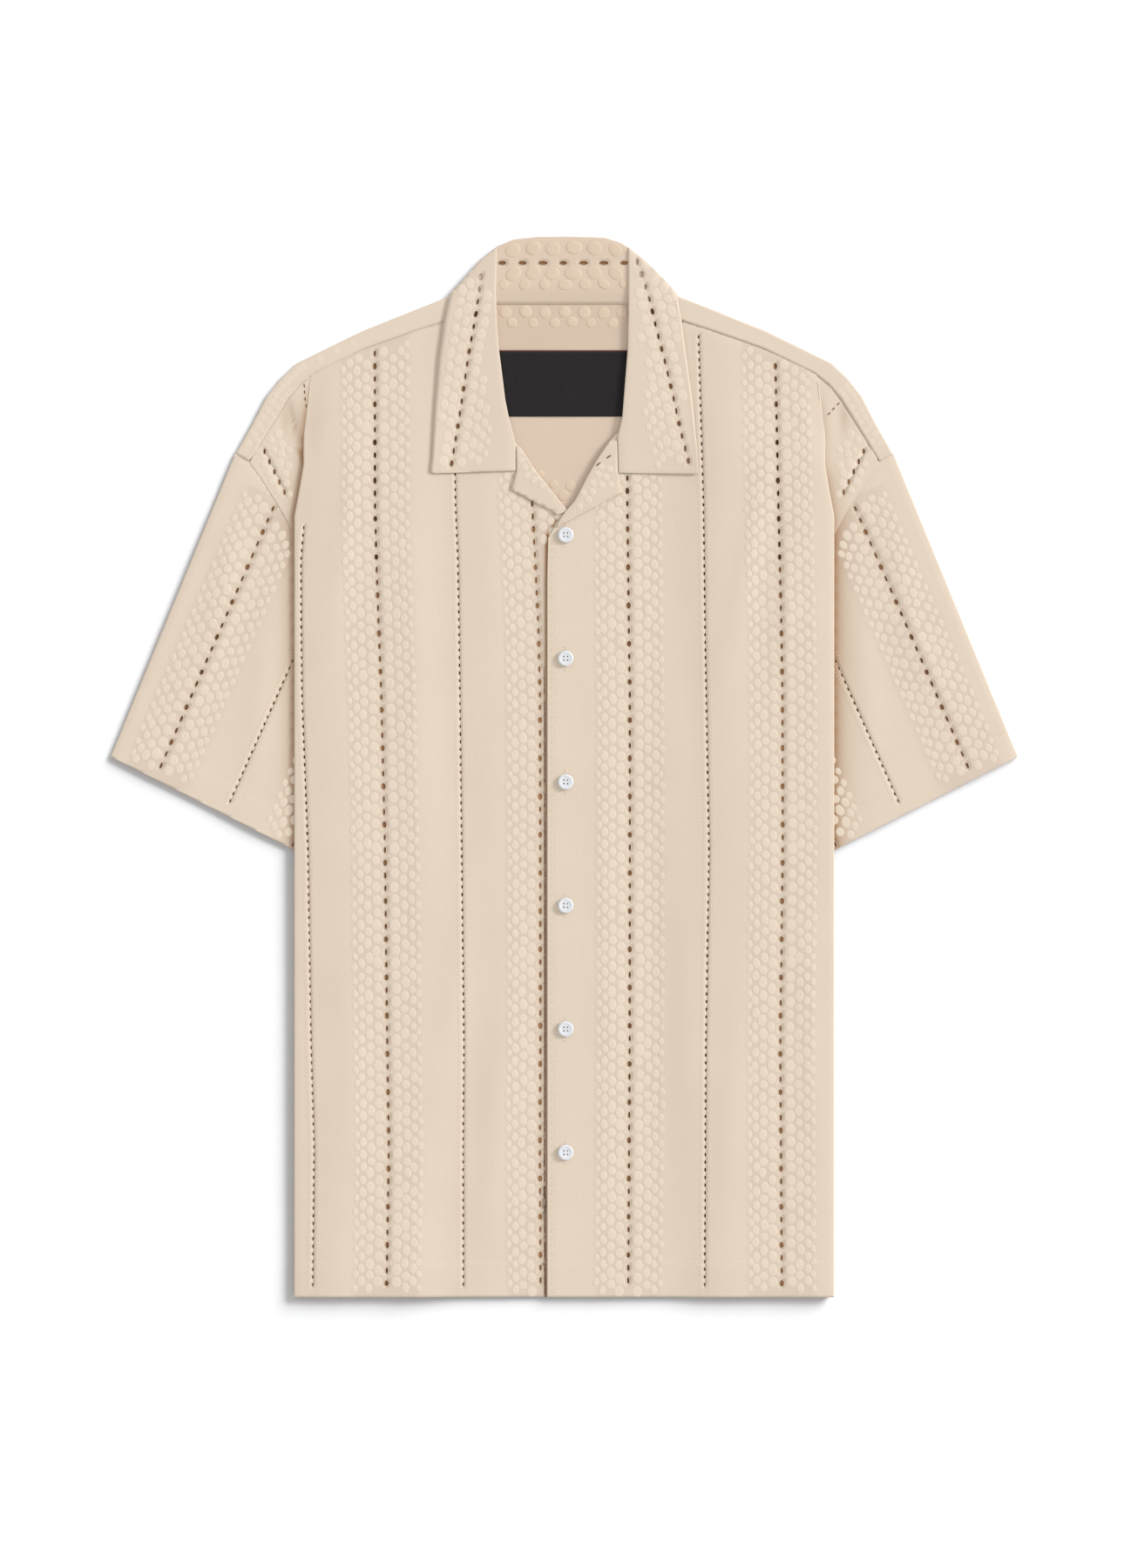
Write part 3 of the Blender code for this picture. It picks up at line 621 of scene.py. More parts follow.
class Cloth:
    """A grid of points in a piece's own flat coordinates, which can be trimmed and opened before it is laid."""

    def __init__(self, rows: Array, columns: Array) -> None:
        """Starts whole.

        Args:
            rows: v of each row.
            columns: u of each column, or of each column at each row.
        """
        columns = np.broadcast_to(columns, (len(rows), columns.shape[-1]))
        self.u = columns.astype(float).copy()
        self.v = np.broadcast_to(rows[:, None], columns.shape).astype(float).copy()
        self.keep = np.ones((len(rows) - 1, columns.shape[1] - 1), bool)
        self.first = np.zeros(columns.shape[1], int)
        self.last = np.full(columns.shape[1], len(rows) - 1)

    def trim(self, low: Optional[Place] = None, high: Optional[Place] = None) -> None:
        """Ends each column on a boundary: the points past it gather there and their faces drop out.

        Args:
            low, high: The boundary's v at any u and v, or none.
        """
        row = np.arange(len(self.v))[:, None]
        column = np.arange(self.v.shape[1])
        if low is not None:
            limit = low(self.u, self.v)
            self.first = np.where(self.v <= limit, row, 0).max(axis=0)
            self.v[self.first, column] = limit[self.first, column]
        if high is not None:
            limit = high(self.u, self.v)
            self.last = np.maximum(np.where(self.v >= limit, row, len(self.v) - 1).min(axis=0), self.first)
            self.v[self.last, column] = limit[self.last, column]

    def open_holes(self, row: Array, column: Array, tall: int, half_u: Array, half_v: Array) -> Array:
        """Opens an oval hole in a block of faces, two wide and so many rows tall, at each row and column.

        The block's border points move onto the oval at even angles.

        Args:
            row, column: The block's lowest row, and its middle column.
            tall: Its rows.
            half_u, half_v: Half the hole's width and length.
        Returns:
            For each hole that fits: its centre's u and v, and half its width and length.
        """
        beside = column[:, None] + np.array([-1, 0, 1])
        fits = (self.first[beside].max(axis=1) < row) & (self.last[beside].min(axis=1) > row + tall)
        row, column, half_u, half_v = row[fits], column[fits], half_u[fits], half_v[fits]
        rows = np.array([0, 0, 0, *range(1, tall), tall, tall, tall, *range(tall - 1, 0, -1)])
        columns = np.array([-1, 0, 1, *[1] * (tall - 1), 1, 0, -1, *[-1] * (tall - 1)])
        turn = np.radians(-90.0) + (np.arange(len(rows)) - 1) * 2.0 * np.pi / len(rows)
        centre_u = (self.u[row, column] + self.u[row + tall, column]) / 2.0
        centre_v = (self.v[row, column] + self.v[row + tall, column]) / 2.0
        at = row[:, None] + rows, column[:, None] + columns
        self.u[at] = centre_u[:, None] + half_u[:, None] * np.cos(turn)
        self.v[at] = centre_v[:, None] + half_v[:, None] * np.sin(turn)
        for step in range(tall):
            for side in (-1, 0):
                self.keep[row + step, column + side] = False
        return np.stack([centre_u, centre_v, half_u, half_v], axis=-1)

    def lay(self, name: str, place: Place, material: bpy.types.Material, thickness: float = 0.7,
            tone: Optional[Height] = None, shade: Optional[Height] = None,
            under: Optional[bpy.types.Material] = None, flat: Optional[Place] = None) -> bpy.types.Object:
        """Lays the cloth down and gives it a wall's thickness below its top.

        Args:
            name: The piece's name.
            place: Where a flat point lies.
            material: The finish of its top.
            thickness: The wall, in millimetres.
            tone: A number from 0 to 1 at any place in plan, for the finish.
            shade: The same, for the painted shade: where the cloth is brown with shade below another layer.
            under: The finish of its other side, if that differs.
            flat: The place in the flat cut, in millimetres, where that isn't u and v.
        Returns:
            The object.
        """
        count = self.v.shape[1]
        ids = np.clip(np.arange(len(self.v))[:, None], self.first, self.last) * count + np.arange(count)
        a, b, c, d = (ids[rows, columns][self.keep] for rows, columns in (
            (np.s_[:-1], np.s_[:-1]), (np.s_[:-1], np.s_[1:]), (np.s_[1:], np.s_[1:]), (np.s_[1:], np.s_[:-1])))
        faces = [np.stack([a, b, c, d], 1)[(a != d) & (b != c)], np.stack([a, b, c], 1)[(a == d) & (b != c)],
                 np.stack([a, b, d], 1)[(a != d) & (b == c)]]
        points = place(self.u, self.v).reshape(-1, 3)
        corner = points[faces[0]]
        upper = corner[..., 2].mean(axis=1) > corner[..., 2].max() - 1.2
        if np.cross(corner[:, 1] - corner[:, 0], corner[:, 2] - corner[:, 0])[upper, 2].sum() < 0.0:
            faces = [group[:, ::-1] for group in faces]
        used = np.unique(np.concatenate([group.ravel() for group in faces]))
        faces = [np.searchsorted(used, group) for group in faces]
        made = make_object(f"{name}_cloth", points[used], faces, material)
        cut = np.stack([self.u, self.v], axis=-1) if flat is None else flat(self.u, self.v)
        add_uv(made, "cut", cut.reshape(-1, 2)[used])
        for key, value in (("tone", tone), ("shade", shade)):
            carried = np.zeros(len(used)) if value is None else value(points[used, 0], points[used, 1])
            layer = made.data.attributes.new(key, "FLOAT", "POINT")
            layer.data.foreach_set("value", carried.astype(np.float32))
        wall = made.modifiers.new("wall", "SOLIDIFY")
        wall.thickness = thickness * MM
        wall.offset = -1.0
        if under is not None:
            made.data.materials.append(under)
            wall.material_offset = 1
        return made


def columns_between(guides: list[tuple[Array, tuple[float, ...]]], spacing: float) -> tuple[Array, list[int]]:
    """Columns that follow lines in the cloth, with even ones between.

    Args:
        guides: For each line its u at each row, and the offsets of the columns beside it.
        spacing: The most between two columns elsewhere.
    Returns:
        u at each row and column, and the number of each line's own column.
    """
    made, own = [], []
    for line, offsets in guides:
        if made:
            left, right = made[-1], line + offsets[0]
            count = max(1, int(np.ceil(np.mean(right - left) / spacing)))
            made += [left + (right - left) * step / count for step in range(1, count)]
        own.append(len(made) + int(np.argmin(np.abs(offsets))))
        made += [line + offset for offset in offsets]
    return np.stack(made, axis=1), own


def rolled(u: Array, width: Array, radius: float) -> tuple[Array, Array]:
    """A flat strip that rolls down at its edge: flat, then round a half circle, then back below itself.

    Args:
        u: The distance along the cloth.
        width: Where the edge shows.
        radius: The roll's radius.
    Returns:
        The distance in plan, and the drop below the top.
    """
    past = u - (width - radius)
    turn = np.clip(past / radius, 0.0, np.pi)
    reach = width - radius + radius * np.sin(turn) - np.maximum(past - np.pi * radius, 0.0)
    return np.where(past > 0.0, reach, u), np.where(past > 0.0, radius * (1.0 - np.cos(turn)), 0.0)


def on_top(height: Height, clearance: float = 0.0) -> Place:
    """A place function for what lies on a layer, in plan."""
    return lambda x, y: np.stack([x, y, height(x, y) + clearance], axis=-1)


@dataclass(frozen=True)
class Form:
    """A small repeated shape: each point as a share of the half sizes, plus an offset and a height."""

    direction: Array
    share: Array
    offset: Array
    height: Array
    faces: list[Array]

    @staticmethod
    def turned(sides: int, profile: tuple[tuple[float, float, float], ...], closed: bool) -> "Form":
        """A profile carried round an oval.

        Args:
            sides: Points round the oval.
            profile: For each ring its share of the half sizes, its offset and its height.
            closed: Whether the last ring joins the first, as on a rim. Otherwise both ends are capped.
        Returns:
            The form.
        """
        turn = np.arange(sides) * 2.0 * np.pi / sides
        ring = np.stack([np.cos(turn), np.sin(turn)], axis=-1)
        rings = len(profile)
        share, offset, height = (np.repeat([row[i] for row in profile], sides) for i in range(3))
        at = np.arange(sides)
        onward = np.roll(at, -1)
        pairs = [(i, (i + 1) % rings) for i in range(rings if closed else rings - 1)]
        quads = np.concatenate([np.stack([i * sides + at, i * sides + onward, j * sides + onward,
                                          j * sides + at], 1) for i, j in pairs])
        faces = [quads]
        if not closed:
            faces += [at[None, ::-1], (rings - 1) * sides + at[None, :]]
        return Form(np.tile(ring, (rings, 1)), share, offset, height, faces)


DOME = Form.turned(12, ((1.0, 0.0, -0.5), (0.95, 0.0, 0.35), (0.8, 0.0, 0.8), (0.45, 0.0, 1.0)), False)
STITCH = Form.turned(6, ((1.0, 0.0, -0.4), (0.85, 0.0, 0.7), (0.4, 0.0, 1.0)), False)
RIM = Form.turned(12, ((1.0, -0.12, -1.2), (1.0, 0.55, -0.6), (1.0, 0.35, 0.9), (1.0, 0.05, 0.8)), True)
SMALL_RIM = Form.turned(8, ((1.0, -0.1, -1.2), (1.0, 0.45, -0.6), (1.0, 0.15, 0.9)), True)


@dataclass(frozen=True)
class Spots:
    """Where repeated shapes go: centres, half sizes and a turn for each, in flat coordinates."""

    u: Array
    v: Array
    half_u: Array
    half_v: Array
    turn: Array

    def where(self, wanted: Array) -> "Spots":
        """Those that are wanted."""
        return Spots(*(values[wanted] for values in (self.u, self.v, self.half_u, self.half_v, self.turn)))

    def __add__(self, other: "Spots") -> "Spots":
        """Both sets."""
        return Spots(*(np.concatenate(pair) for pair in zip(self.parts(), other.parts())))

    def parts(self) -> tuple[Array, ...]:
        """The five arrays."""
        return self.u, self.v, self.half_u, self.half_v, self.turn


def scatter(name: str, form: Form, spots: Spots, height: float, place: Place, material: bpy.types.Material,
            seed: int) -> bpy.types.Object:
    """One mesh of a form repeated on the cloth, each copy following the surface point by point.

    Args:
        name: The piece's name.
        form: The repeated form.
        spots: Where its copies go.
        height: How far a copy stands up, in millimetres.
        place: Where a flat point lies.
        material: The finish.
        seed: Fixes the small differences between copies.
    Returns:
        The object.
    """
    random = np.random.default_rng(seed)
    local_u = form.direction[:, 0] * (spots.half_u[:, None] * form.share + form.offset)
    local_v = form.direction[:, 1] * (spots.half_v[:, None] * form.share + form.offset)
    cos, sin = np.cos(spots.turn)[:, None], np.sin(spots.turn)[:, None]
    u = spots.u[:, None] + local_u * cos - local_v * sin
    v = spots.v[:, None] + local_u * sin + local_v * cos
    points = place(u, v)
    rise = height * random.uniform(0.8, 1.15, (len(u), 1))
    points[..., 2] += rise * form.height
    corner = place(np.array([spots.u[0], spots.u[0] + 1.0, spots.u[0]]),
                   np.array([spots.v[0], spots.v[0], spots.v[0] + 1.0]))
    mirrored = np.cross(corner[1, :2] - corner[0, :2], corner[2, :2] - corner[0, :2]) < 0.0
    step = np.arange(len(u))[:, None, None] * u.shape[1]
    faces = [(step + group[None]).reshape(-1, group.shape[1]) for group in form.faces]
    if mirrored:
        faces = [group[:, ::-1] for group in faces]
    made = make_object(name, points.reshape(-1, 3), faces, material)
    lean = random.uniform(-0.7, 0.7, (len(u), 1))
    start = random.uniform(0.0, 50.0, (len(u), 1))
    thread = np.stack([local_v * np.cos(lean) + local_u * np.sin(lean) + start,
                       local_u * np.cos(lean) - local_v * np.sin(lean) + start], axis=-1)
    add_uv(made, "thread", thread.reshape(-1, 2))
    return publish(made, "cotton")


def along(path: list[tuple[float, float]] | Array, pitch: float, half: tuple[float, float]) -> Spots:
    """Stitches along a path at an even pitch, each turned to follow it.

    Args:
        path: Points of the path, joined by straight lines.
        pitch: From one stitch to the next.
        half: Half a stitch's length and width.
    Returns:
        Their spots.
    """
    path = np.array(path, float)
    run = np.diff(path, axis=0)
    length = np.concatenate([[0.0], np.cumsum(np.hypot(*run.T))])
    at = np.arange(pitch / 2.0, length[-1], pitch)
    part = np.clip(np.searchsorted(length, at) - 1, 0, len(run) - 1)
    turn = np.arctan2(run[part, 1], run[part, 0])
    full = np.ones(len(at))
    return Spots(np.interp(at, length, path[:, 0]), np.interp(at, length, path[:, 1]), full * half[0],
                 full * half[1], turn)


# The embroidery of a wide stripe: eyelets down its middle, one large and two narrow, and dots beside them.
ROW_PITCH = 1.84
EYELET_ROWS = 5
LADDER_ROWS = 3
EYELET_PITCH = EYELET_ROWS * ROW_PITCH
REPEAT = 3 * EYELET_PITCH
AROUND_EYELET = (-3.6, -1.7, 0.0, 1.7, 3.6)
AROUND_LADDER = (-2.4, -1.0, 0.0, 1.0, 2.4)
LARGE_HALF = (1.5, 2.35)
NARROW_HALF = (0.95, 2.3)
LADDER_HALF = (0.72, 1.45)
STITCH_HALF = (0.85, 0.28)
STITCH_PITCH = 2.7
STITCH_HEIGHT = 0.22
DOT_HEIGHT = 0.14
RIM_HEIGHT = 0.18
SMALL_RIM_HEIGHT = 0.14
DOT_CHART = table(
    "across down half_u half_v turn",
    (6.5, -4.2, 3.5, 3.8, 0.1), (6.8, 5.1, 3.3, 4.1, 0.0), (6.6, 14.3, 3.6, 4.4, -0.1),
    (12.8, -8.6, 3.2, 3.2, 0.35), (13.4, 0.2, 3.1, 4.2, 0.1), (12.7, 10.0, 3.2, 4.3, -0.1),
    (18.5, -4.6, 2.8, 3.7, 0.2), (18.6, 4.8, 2.7, 3.4, 0.0), (18.5, 13.8, 2.8, 3.7, -0.2),
    (22.9, -10.0, 2.2, 2.9, 0.3), (23.1, -0.2, 2.1, 3.0, 0.1), (22.8, 8.8, 2.2, 2.9, -0.2),
)


@dataclass(frozen=True)
class Stripe:
    """A wide embroidered stripe: its line and where its large eyelets fall."""

    line: Line
    anchor: float
    span: tuple[float, float]
    scale: float = 1.0

    def dots(self, seed: int) -> Spots:
        """The chart on each side of the line, once for each repeat, with small differences.

        Args:
            seed: Fixes the differences.
        Returns:
            The dots' spots.
        """
        random = np.random.default_rng(seed)
        count = int((self.span[1] - self.span[0]) / (REPEAT * self.scale)) + 2
        skipped = np.ceil((self.span[0] - self.anchor) / (REPEAT * self.scale) - 1)
        first = self.anchor + skipped * REPEAT * self.scale
        repeats = first + np.arange(count + 1) * REPEAT * self.scale
        side = np.array([1.0, -1.0])[:, None, None]
        shape = (2, len(repeats), len(DOT_CHART["down"]))
        v = np.broadcast_to(repeats[None, :, None] - DOT_CHART["down"] * self.scale, shape)
        across = side * DOT_CHART["across"] * self.scale
        u = self.line(v) + across + random.normal(0.0, 0.25, shape)
        v = v + random.normal(0.0, 0.35, shape)
        size = self.scale * random.uniform(0.9, 1.08, shape)
        spots = Spots(*(np.broadcast_to(values, shape).ravel() for values in (
            u, v, DOT_CHART["half_u"] * size, DOT_CHART["half_v"] * size, side * DOT_CHART["turn"])))
        return spots.where((spots.v > self.span[0]) & (spots.v < self.span[1]))

    def open_in(self, cloth: Cloth, rows: Array, column: int, seed: int,
                span: Optional[tuple[float, float]] = None) -> Array:
        """Opens the stripe's eyelets.

        Args:
            cloth: The cloth.
            rows: v of its rows.
            column: The column that follows the stripe.
            seed: Fixes the small differences.
            span: Where there are eyelets, if that isn't all of the stripe's span.
        Returns:
            The holes, as Cloth.open_holes gives them.
        """
        low, high = span or self.span
        random = np.random.default_rng(seed)
        anchor = int(np.argmin(np.abs(rows - self.anchor)))
        row = np.arange(anchor % EYELET_ROWS, len(rows) - 4, EYELET_ROWS)
        large = (row - anchor) // EYELET_ROWS % 3 == 0
        there = (rows[row] > low) & (rows[row] < high)
        row, large = row[there], large[there]
        half_u = np.where(large, LARGE_HALF[0], NARROW_HALF[0]) * random.uniform(0.88, 1.1, len(row))
        half_v = np.where(large, LARGE_HALF[1], NARROW_HALF[1]) * random.uniform(0.88, 1.05, len(row))
        return cloth.open_holes(row, np.full(len(row), column), 3, half_u, half_v)


def open_ladder(cloth: Cloth, rows: Array, column: int, span: tuple[float, float], seed: int) -> Array:
    """Opens a ladder's small holes, one each third row.

    Args:
        cloth: The cloth.
        rows: v of its rows.
        column: The column that follows the ladder.
        span: From its first v to its last.
        seed: Fixes the small differences.
    Returns:
        The holes, as Cloth.open_holes gives them.
    """
    random = np.random.default_rng(seed)
    row = np.arange(1, len(rows) - 3, LADDER_ROWS)
    row = row[(rows[row] > span[0]) & (rows[row] < span[1])]
    half_u = LADDER_HALF[0] * random.uniform(0.85, 1.1, len(row))
    half_v = LADDER_HALF[1] * random.uniform(0.85, 1.05, len(row))
    return cloth.open_holes(row, np.full(len(row), column), 2, half_u, half_v)


def rims(holes: Array) -> Spots:
    """The rims' spots from the holes that were opened."""
    return Spots(*holes.T, np.zeros(len(holes)))


def lines_beside(line: Line, span: tuple[float, float], offsets: tuple[float, ...]) -> Spots:
    """Rows of stitches beside a ladder.

    Args:
        line: The ladder's line.
        span: From the first v to the last.
        offsets: How far each row lies from the line.
    Returns:
        The stitches.
    """
    v = np.arange(span[0], span[1], 12.0)
    sets = [along(np.stack([line(v) + offset, v], -1), STITCH_PITCH, (0.62, 0.42)) for offset in offsets]
    return sum(sets[1:], sets[0])


def declare(made: bpy.types.Object, rests_on: list[str]) -> None:
    """Reads a piece's flat coordinates and face areas from its own surface before it gets its thickness, and does
    nothing more with them.

    Args:
        made: The piece of cloth.
        rests_on: What it lies on; not used.
    """
    mesh = made.data
    flat = np.empty(len(mesh.loops) * 2, np.float32)
    mesh.uv_layers["cut"].data.foreach_get("uv", flat)
    flat = flat.reshape(-1, 2)
    areas = np.empty(len(mesh.polygons), np.float32)
    mesh.polygons.foreach_get("area", areas)


@dataclass
class Front:
    """A front: from its centre edge to the fold at its side, with its stripes, ladders and hem."""

    side_name: str
    side: float
    centre: float
    top: dict[str, Array]
    lines: dict[str, Array]
    stripes: tuple[str, ...]
    ladders: tuple[str, ...]
    height: Height
    anchors: dict[str, float]
    roll: float = 1.0
    hem: float = 25.0
    lap: float = 1.6
    tuck: float = 0.6

    def line(self, name: str) -> Line:
        """The u of a named line at any v."""
        return lambda v: np.interp(v, self.lines["y"], self.lines[name])

    def width(self, v: Array) -> Array:
        """Where the fold at the side shows."""
        return np.interp(v, FRONT_FOLD["y"], FRONT_FOLD["x"])

    def place(self, u: Array, v: Array) -> Array:
        """Flat to the layer's top, and round the fold at the side, which opens out towards the shoulder.

        Args:
            u, v: Across the front from the shirt's middle, and up it.
        Returns:
            The points.
        """
        reach, drop = rolled(u, self.width(v), self.roll)
        x = self.side * reach
        near_edge = smooth(u - self.width(v), -14.0, -2.0) * smooth(v, 216.0, 250.0)
        settled = LIE.level(2) + 0.25 + 0.8 * (1.0 - smooth(v, 222.0, 282.0))
        height = self.height(x, v)
        top = height + (settled - height) * near_edge - drop * (1.0 - 0.7 * smooth(v, 232.0, 272.0))
        top = top + 0.25 * (1.0 - smooth(v, HEM_Y + self.hem - 1.0, HEM_Y + self.hem))
        return np.stack([x, v, top - self.tuck * smooth(v - self.high(u, v), -1.0, 0.1) * (u > 84.0)], axis=-1)

    def high(self, u: Array, v: Array) -> Array:
        """v of the upper boundary: the front edge or the underlap, the neck and the shoulder's seam."""
        x, y = (np.concatenate([self.top[own], SHOULDER_SEAM[shared]]) for own, shared in (("u", "x"), ("y", "y")))
        return np.interp(u, x, y)

    def tone(self, x: Array, y: Array) -> Array:
        """A little greyer round the ladders and in the stripes.

        Args:
            x, y: Places in plan.
        Returns:
            The tone, from 0 to 1.
        """
        u = self.side * x
        near = sum(0.4 * np.exp(-((u - self.line(name)(y)) / 17.0) ** 2)
                   for name in self.ladders if name != "edge")
        band = sum(1.0 - smooth(np.abs(u - self.line(name)(y)), 22.0, 26.0) for name in self.stripes)
        return np.clip(near + 0.62 * band, 0.0, 1.0)

    def shade(self, x: Array, y: Array) -> Array:
        """Painted shade: brown below the collar, and a painted shadow on the right front beside the left one's free
        edge.

        Args:
            x, y: Places in plan.
        Returns:
            The shade, from 0 to 1.
        """
        beside = FREE_EDGE + 0.63 * np.maximum(y - FREE_EDGE_TOP, 0.0) - x
        away = np.maximum(beside, 0.0)
        edge = 0.95 * np.exp(-((away / 1.3) ** 2)) + 0.3 * np.exp(-away / 3.0)
        edge = edge * (beside > -1.8) * (y < 187.0) * (self.side < 0.0)
        return np.clip(below_collar(x, y) + edge, 0.0, 1.0)

    def make(self, palette: Palette) -> None:
        """Builds the cloth and all that is sewn on it.

        Args:
            palette: The finishes.
        """
        rows = np.arange(HEM_Y, FRONT_TOP, ROW_PITCH)
        names = sorted(self.stripes + self.ladders, key=lambda name: float(np.mean(self.lines[name])))
        guides = [(np.full(len(rows), self.centre), (0.0,))]
        if self.side < 0.0:
            guides.append((np.full(len(rows), -FREE_EDGE), (-1.6, -0.5, 0.3, 1.0, 2.0)))
        before = len(guides)
        for name in names:
            offsets = AROUND_EYELET if name in self.stripes else AROUND_LADDER
            guides.append((self.line(name)(rows), offsets))
        edge = self.width(rows)
        arc = tuple(self.roll * (turn - 1.0) for turn in (0.0, 0.5, 1.0, 1.5, 2.0, 2.6, 3.3))
        guides.append((edge, arc))
        columns, own = columns_between(guides, 4.6)
        cloth = Cloth(rows, columns)
        cloth.trim(high=lambda u, v: self.high(u, v) + self.lap * (u > 84.0))
        holes, small = [], []
        for number, name in enumerate(names):
            column = own[number + before]
            if name in self.stripes:
                stripe = Stripe(self.line(name), self.anchors[name], (HEM_Y + 6.0, 312.0))
                holes.append(stripe.open_in(cloth, rows, column, 11 + number))
            elif name != "edge":
                small.append(open_ladder(cloth, rows, column, (HEM_Y + 3.0, self.anchors[name]), 31 + number))
            else:
                y = np.arange(HEM_Y + 4.0, self.anchors[name], LADDER_ROWS * ROW_PITCH)
                full = np.ones(len(y))
                small.append(np.stack([self.line(name)(y), y, full * 0.62, full * 1.5], -1))
        name = f"front_{self.side_name}"
        cover = cloth.lay(name, self.place, palette.cotton, tone=self.tone, shade=self.shade)
        parts = self.embroidery(palette, name, np.concatenate(holes), np.concatenate(small))
        publish(cover, "cotton", name)
        declare(cover, ["back", f"side_fold_{self.side_name}"])

    def dots(self) -> Spots:
        """The dots of both stripes that lie whole on the cloth that shows.

        Returns:
            Their spots.
        """
        sets = [Stripe(self.line(line), self.anchors[line], (HEM_Y + 2.5, 318.0)).dots(51 + number)
                for number, line in enumerate(self.stripes)]
        dots = sum(sets[1:], sets[0])
        clear = np.maximum(dots.half_u, dots.half_v)
        inside = (dots.v + clear < self.high(dots.u, dots.v) - 0.5) & (dots.u - clear > self.centre + 1.0)
        inside &= (dots.u + clear < self.width(dots.v) - 1.2)
        if self.side < 0.0:
            inside &= (dots.u - clear > 11.0) | (dots.v > 168.0)
        else:
            inside &= dots.u - clear > -4.5
        return dots.where(inside)

    def stitches(self) -> Spots:
        """The stitches beside the ladders and along the hem.

        Returns:
            Their spots.
        """
        sets = [lines_beside(self.line(line), (HEM_Y + 2.0, self.anchors[line] + 4.0),
                             (2.9,) if line == "edge" else (-3.4, 3.4)) for line in self.ladders]
        hem = [(self.centre + 0.5, HEM_Y + self.hem), (193.5, HEM_Y + self.hem)]
        stitches = sum(sets[1:], sets[0]) + along(hem, STITCH_PITCH, STITCH_HALF)
        inside = stitches.v < self.high(stitches.u, stitches.v) - 1.0
        return stitches.where(inside & (stitches.u < self.width(stitches.v) - 1.0))

    def embroidery(self, palette: Palette, name: str, holes: Array, small: Array) -> list[bpy.types.Object]:
        """Makes the dots, rims and stitches.

        Args:
            palette: The finishes.
            name: The front's name.
            holes: Its eyelets, as Cloth.open_holes gives them.
            small: The small holes of its ladders, likewise.
        Returns:
            The pieces.
        """
        return [
            scatter(name + "_dots", DOME, self.dots(), DOT_HEIGHT, self.place, palette.dots, 3),
            scatter(name + "_rims", RIM, rims(holes), RIM_HEIGHT, self.place, palette.rim, 5),
            scatter(name + "_ladder_rims", SMALL_RIM, rims(small), SMALL_RIM_HEIGHT, self.place, palette.rim, 6),
            scatter(name + "_stitches", STITCH, self.stitches(), STITCH_HEIGHT, self.place, palette.stitch, 7),
        ]


FRONT_LEFT = Front(
    "left", 1.0, -12.4,
    table("u y", (-12.41, 130.0), (-12.3, 151.0), (-11.8, 164.7), (-8.3, 170.9), (-2.8, 179.2), (1.9, 185.5),
          (8.5, 193.0), (14.8, 206.3), (24.3, 223.0), (34.1, 237.2), (49.9, 252.0), (53.7, 301.0),
          (85.5, 320.2)),
    table("y edge inner middle outer",
          (HEM_Y, -9.1, 46.2, 101.4, 157.2), (-200.0, -9.1, 47.3, 102.3, 156.0),
          (-60.0, -9.1, 47.4, 104.6, 157.8), (50.0, -9.1, 47.4, 102.6, 157.6),
          (100.0, -9.1, 46.7, 101.7, 156.8), (190.0, -9.1, 45.6, 100.6, 154.6),
          (300.0, -9.1, 45.7, 97.4, 152.4), (330.0, -9.1, 45.7, 96.6, 152.0)),
    ("inner", "outer"), ("edge", "middle"), LIE.left_front,
    {"inner": 169.0, "outer": 286.0, "edge": 163.0, "middle": 312.0},
)
FRONT_RIGHT = Front(
    "right", -1.0, -14.4,
    table("u y", (-14.41, 150.0), (-14.3, 165.0), (-10.0, 176.0), (-1.5, 185.9), (7.4, 197.4), (20.7, 214.2),
          (33.0, 232.8), (49.5, 245.0), (55.0, 300.0), (85.5, 320.2)),
    table("y inner middle outer side",
          (HEM_Y, 17.0, 72.8, 128.4, 181.6), (-276.0, 17.6, 73.0, 126.6, 180.5),
          (-200.0, 17.2, 72.4, 127.8, 182.7), (-60.0, 17.3, 74.0, 129.4, 185.0),
          (50.0, 17.5, 75.3, 132.0, 189.2), (100.0, 18.6, 75.9, 133.9, 189.8),
          (150.0, 21.0, 76.8, 135.6, 189.9), (190.0, 23.2, 78.5, 136.6, 186.5),
          (300.0, 23.4, 80.0, 136.8, 177.5), (330.0, 23.4, 80.0, 136.8, 175.5)),
    ("inner", "outer"), ("middle", "side"), LIE.right_front,
    {"inner": 169.0, "outer": 286.0, "middle": 232.0, "side": 172.0},
)


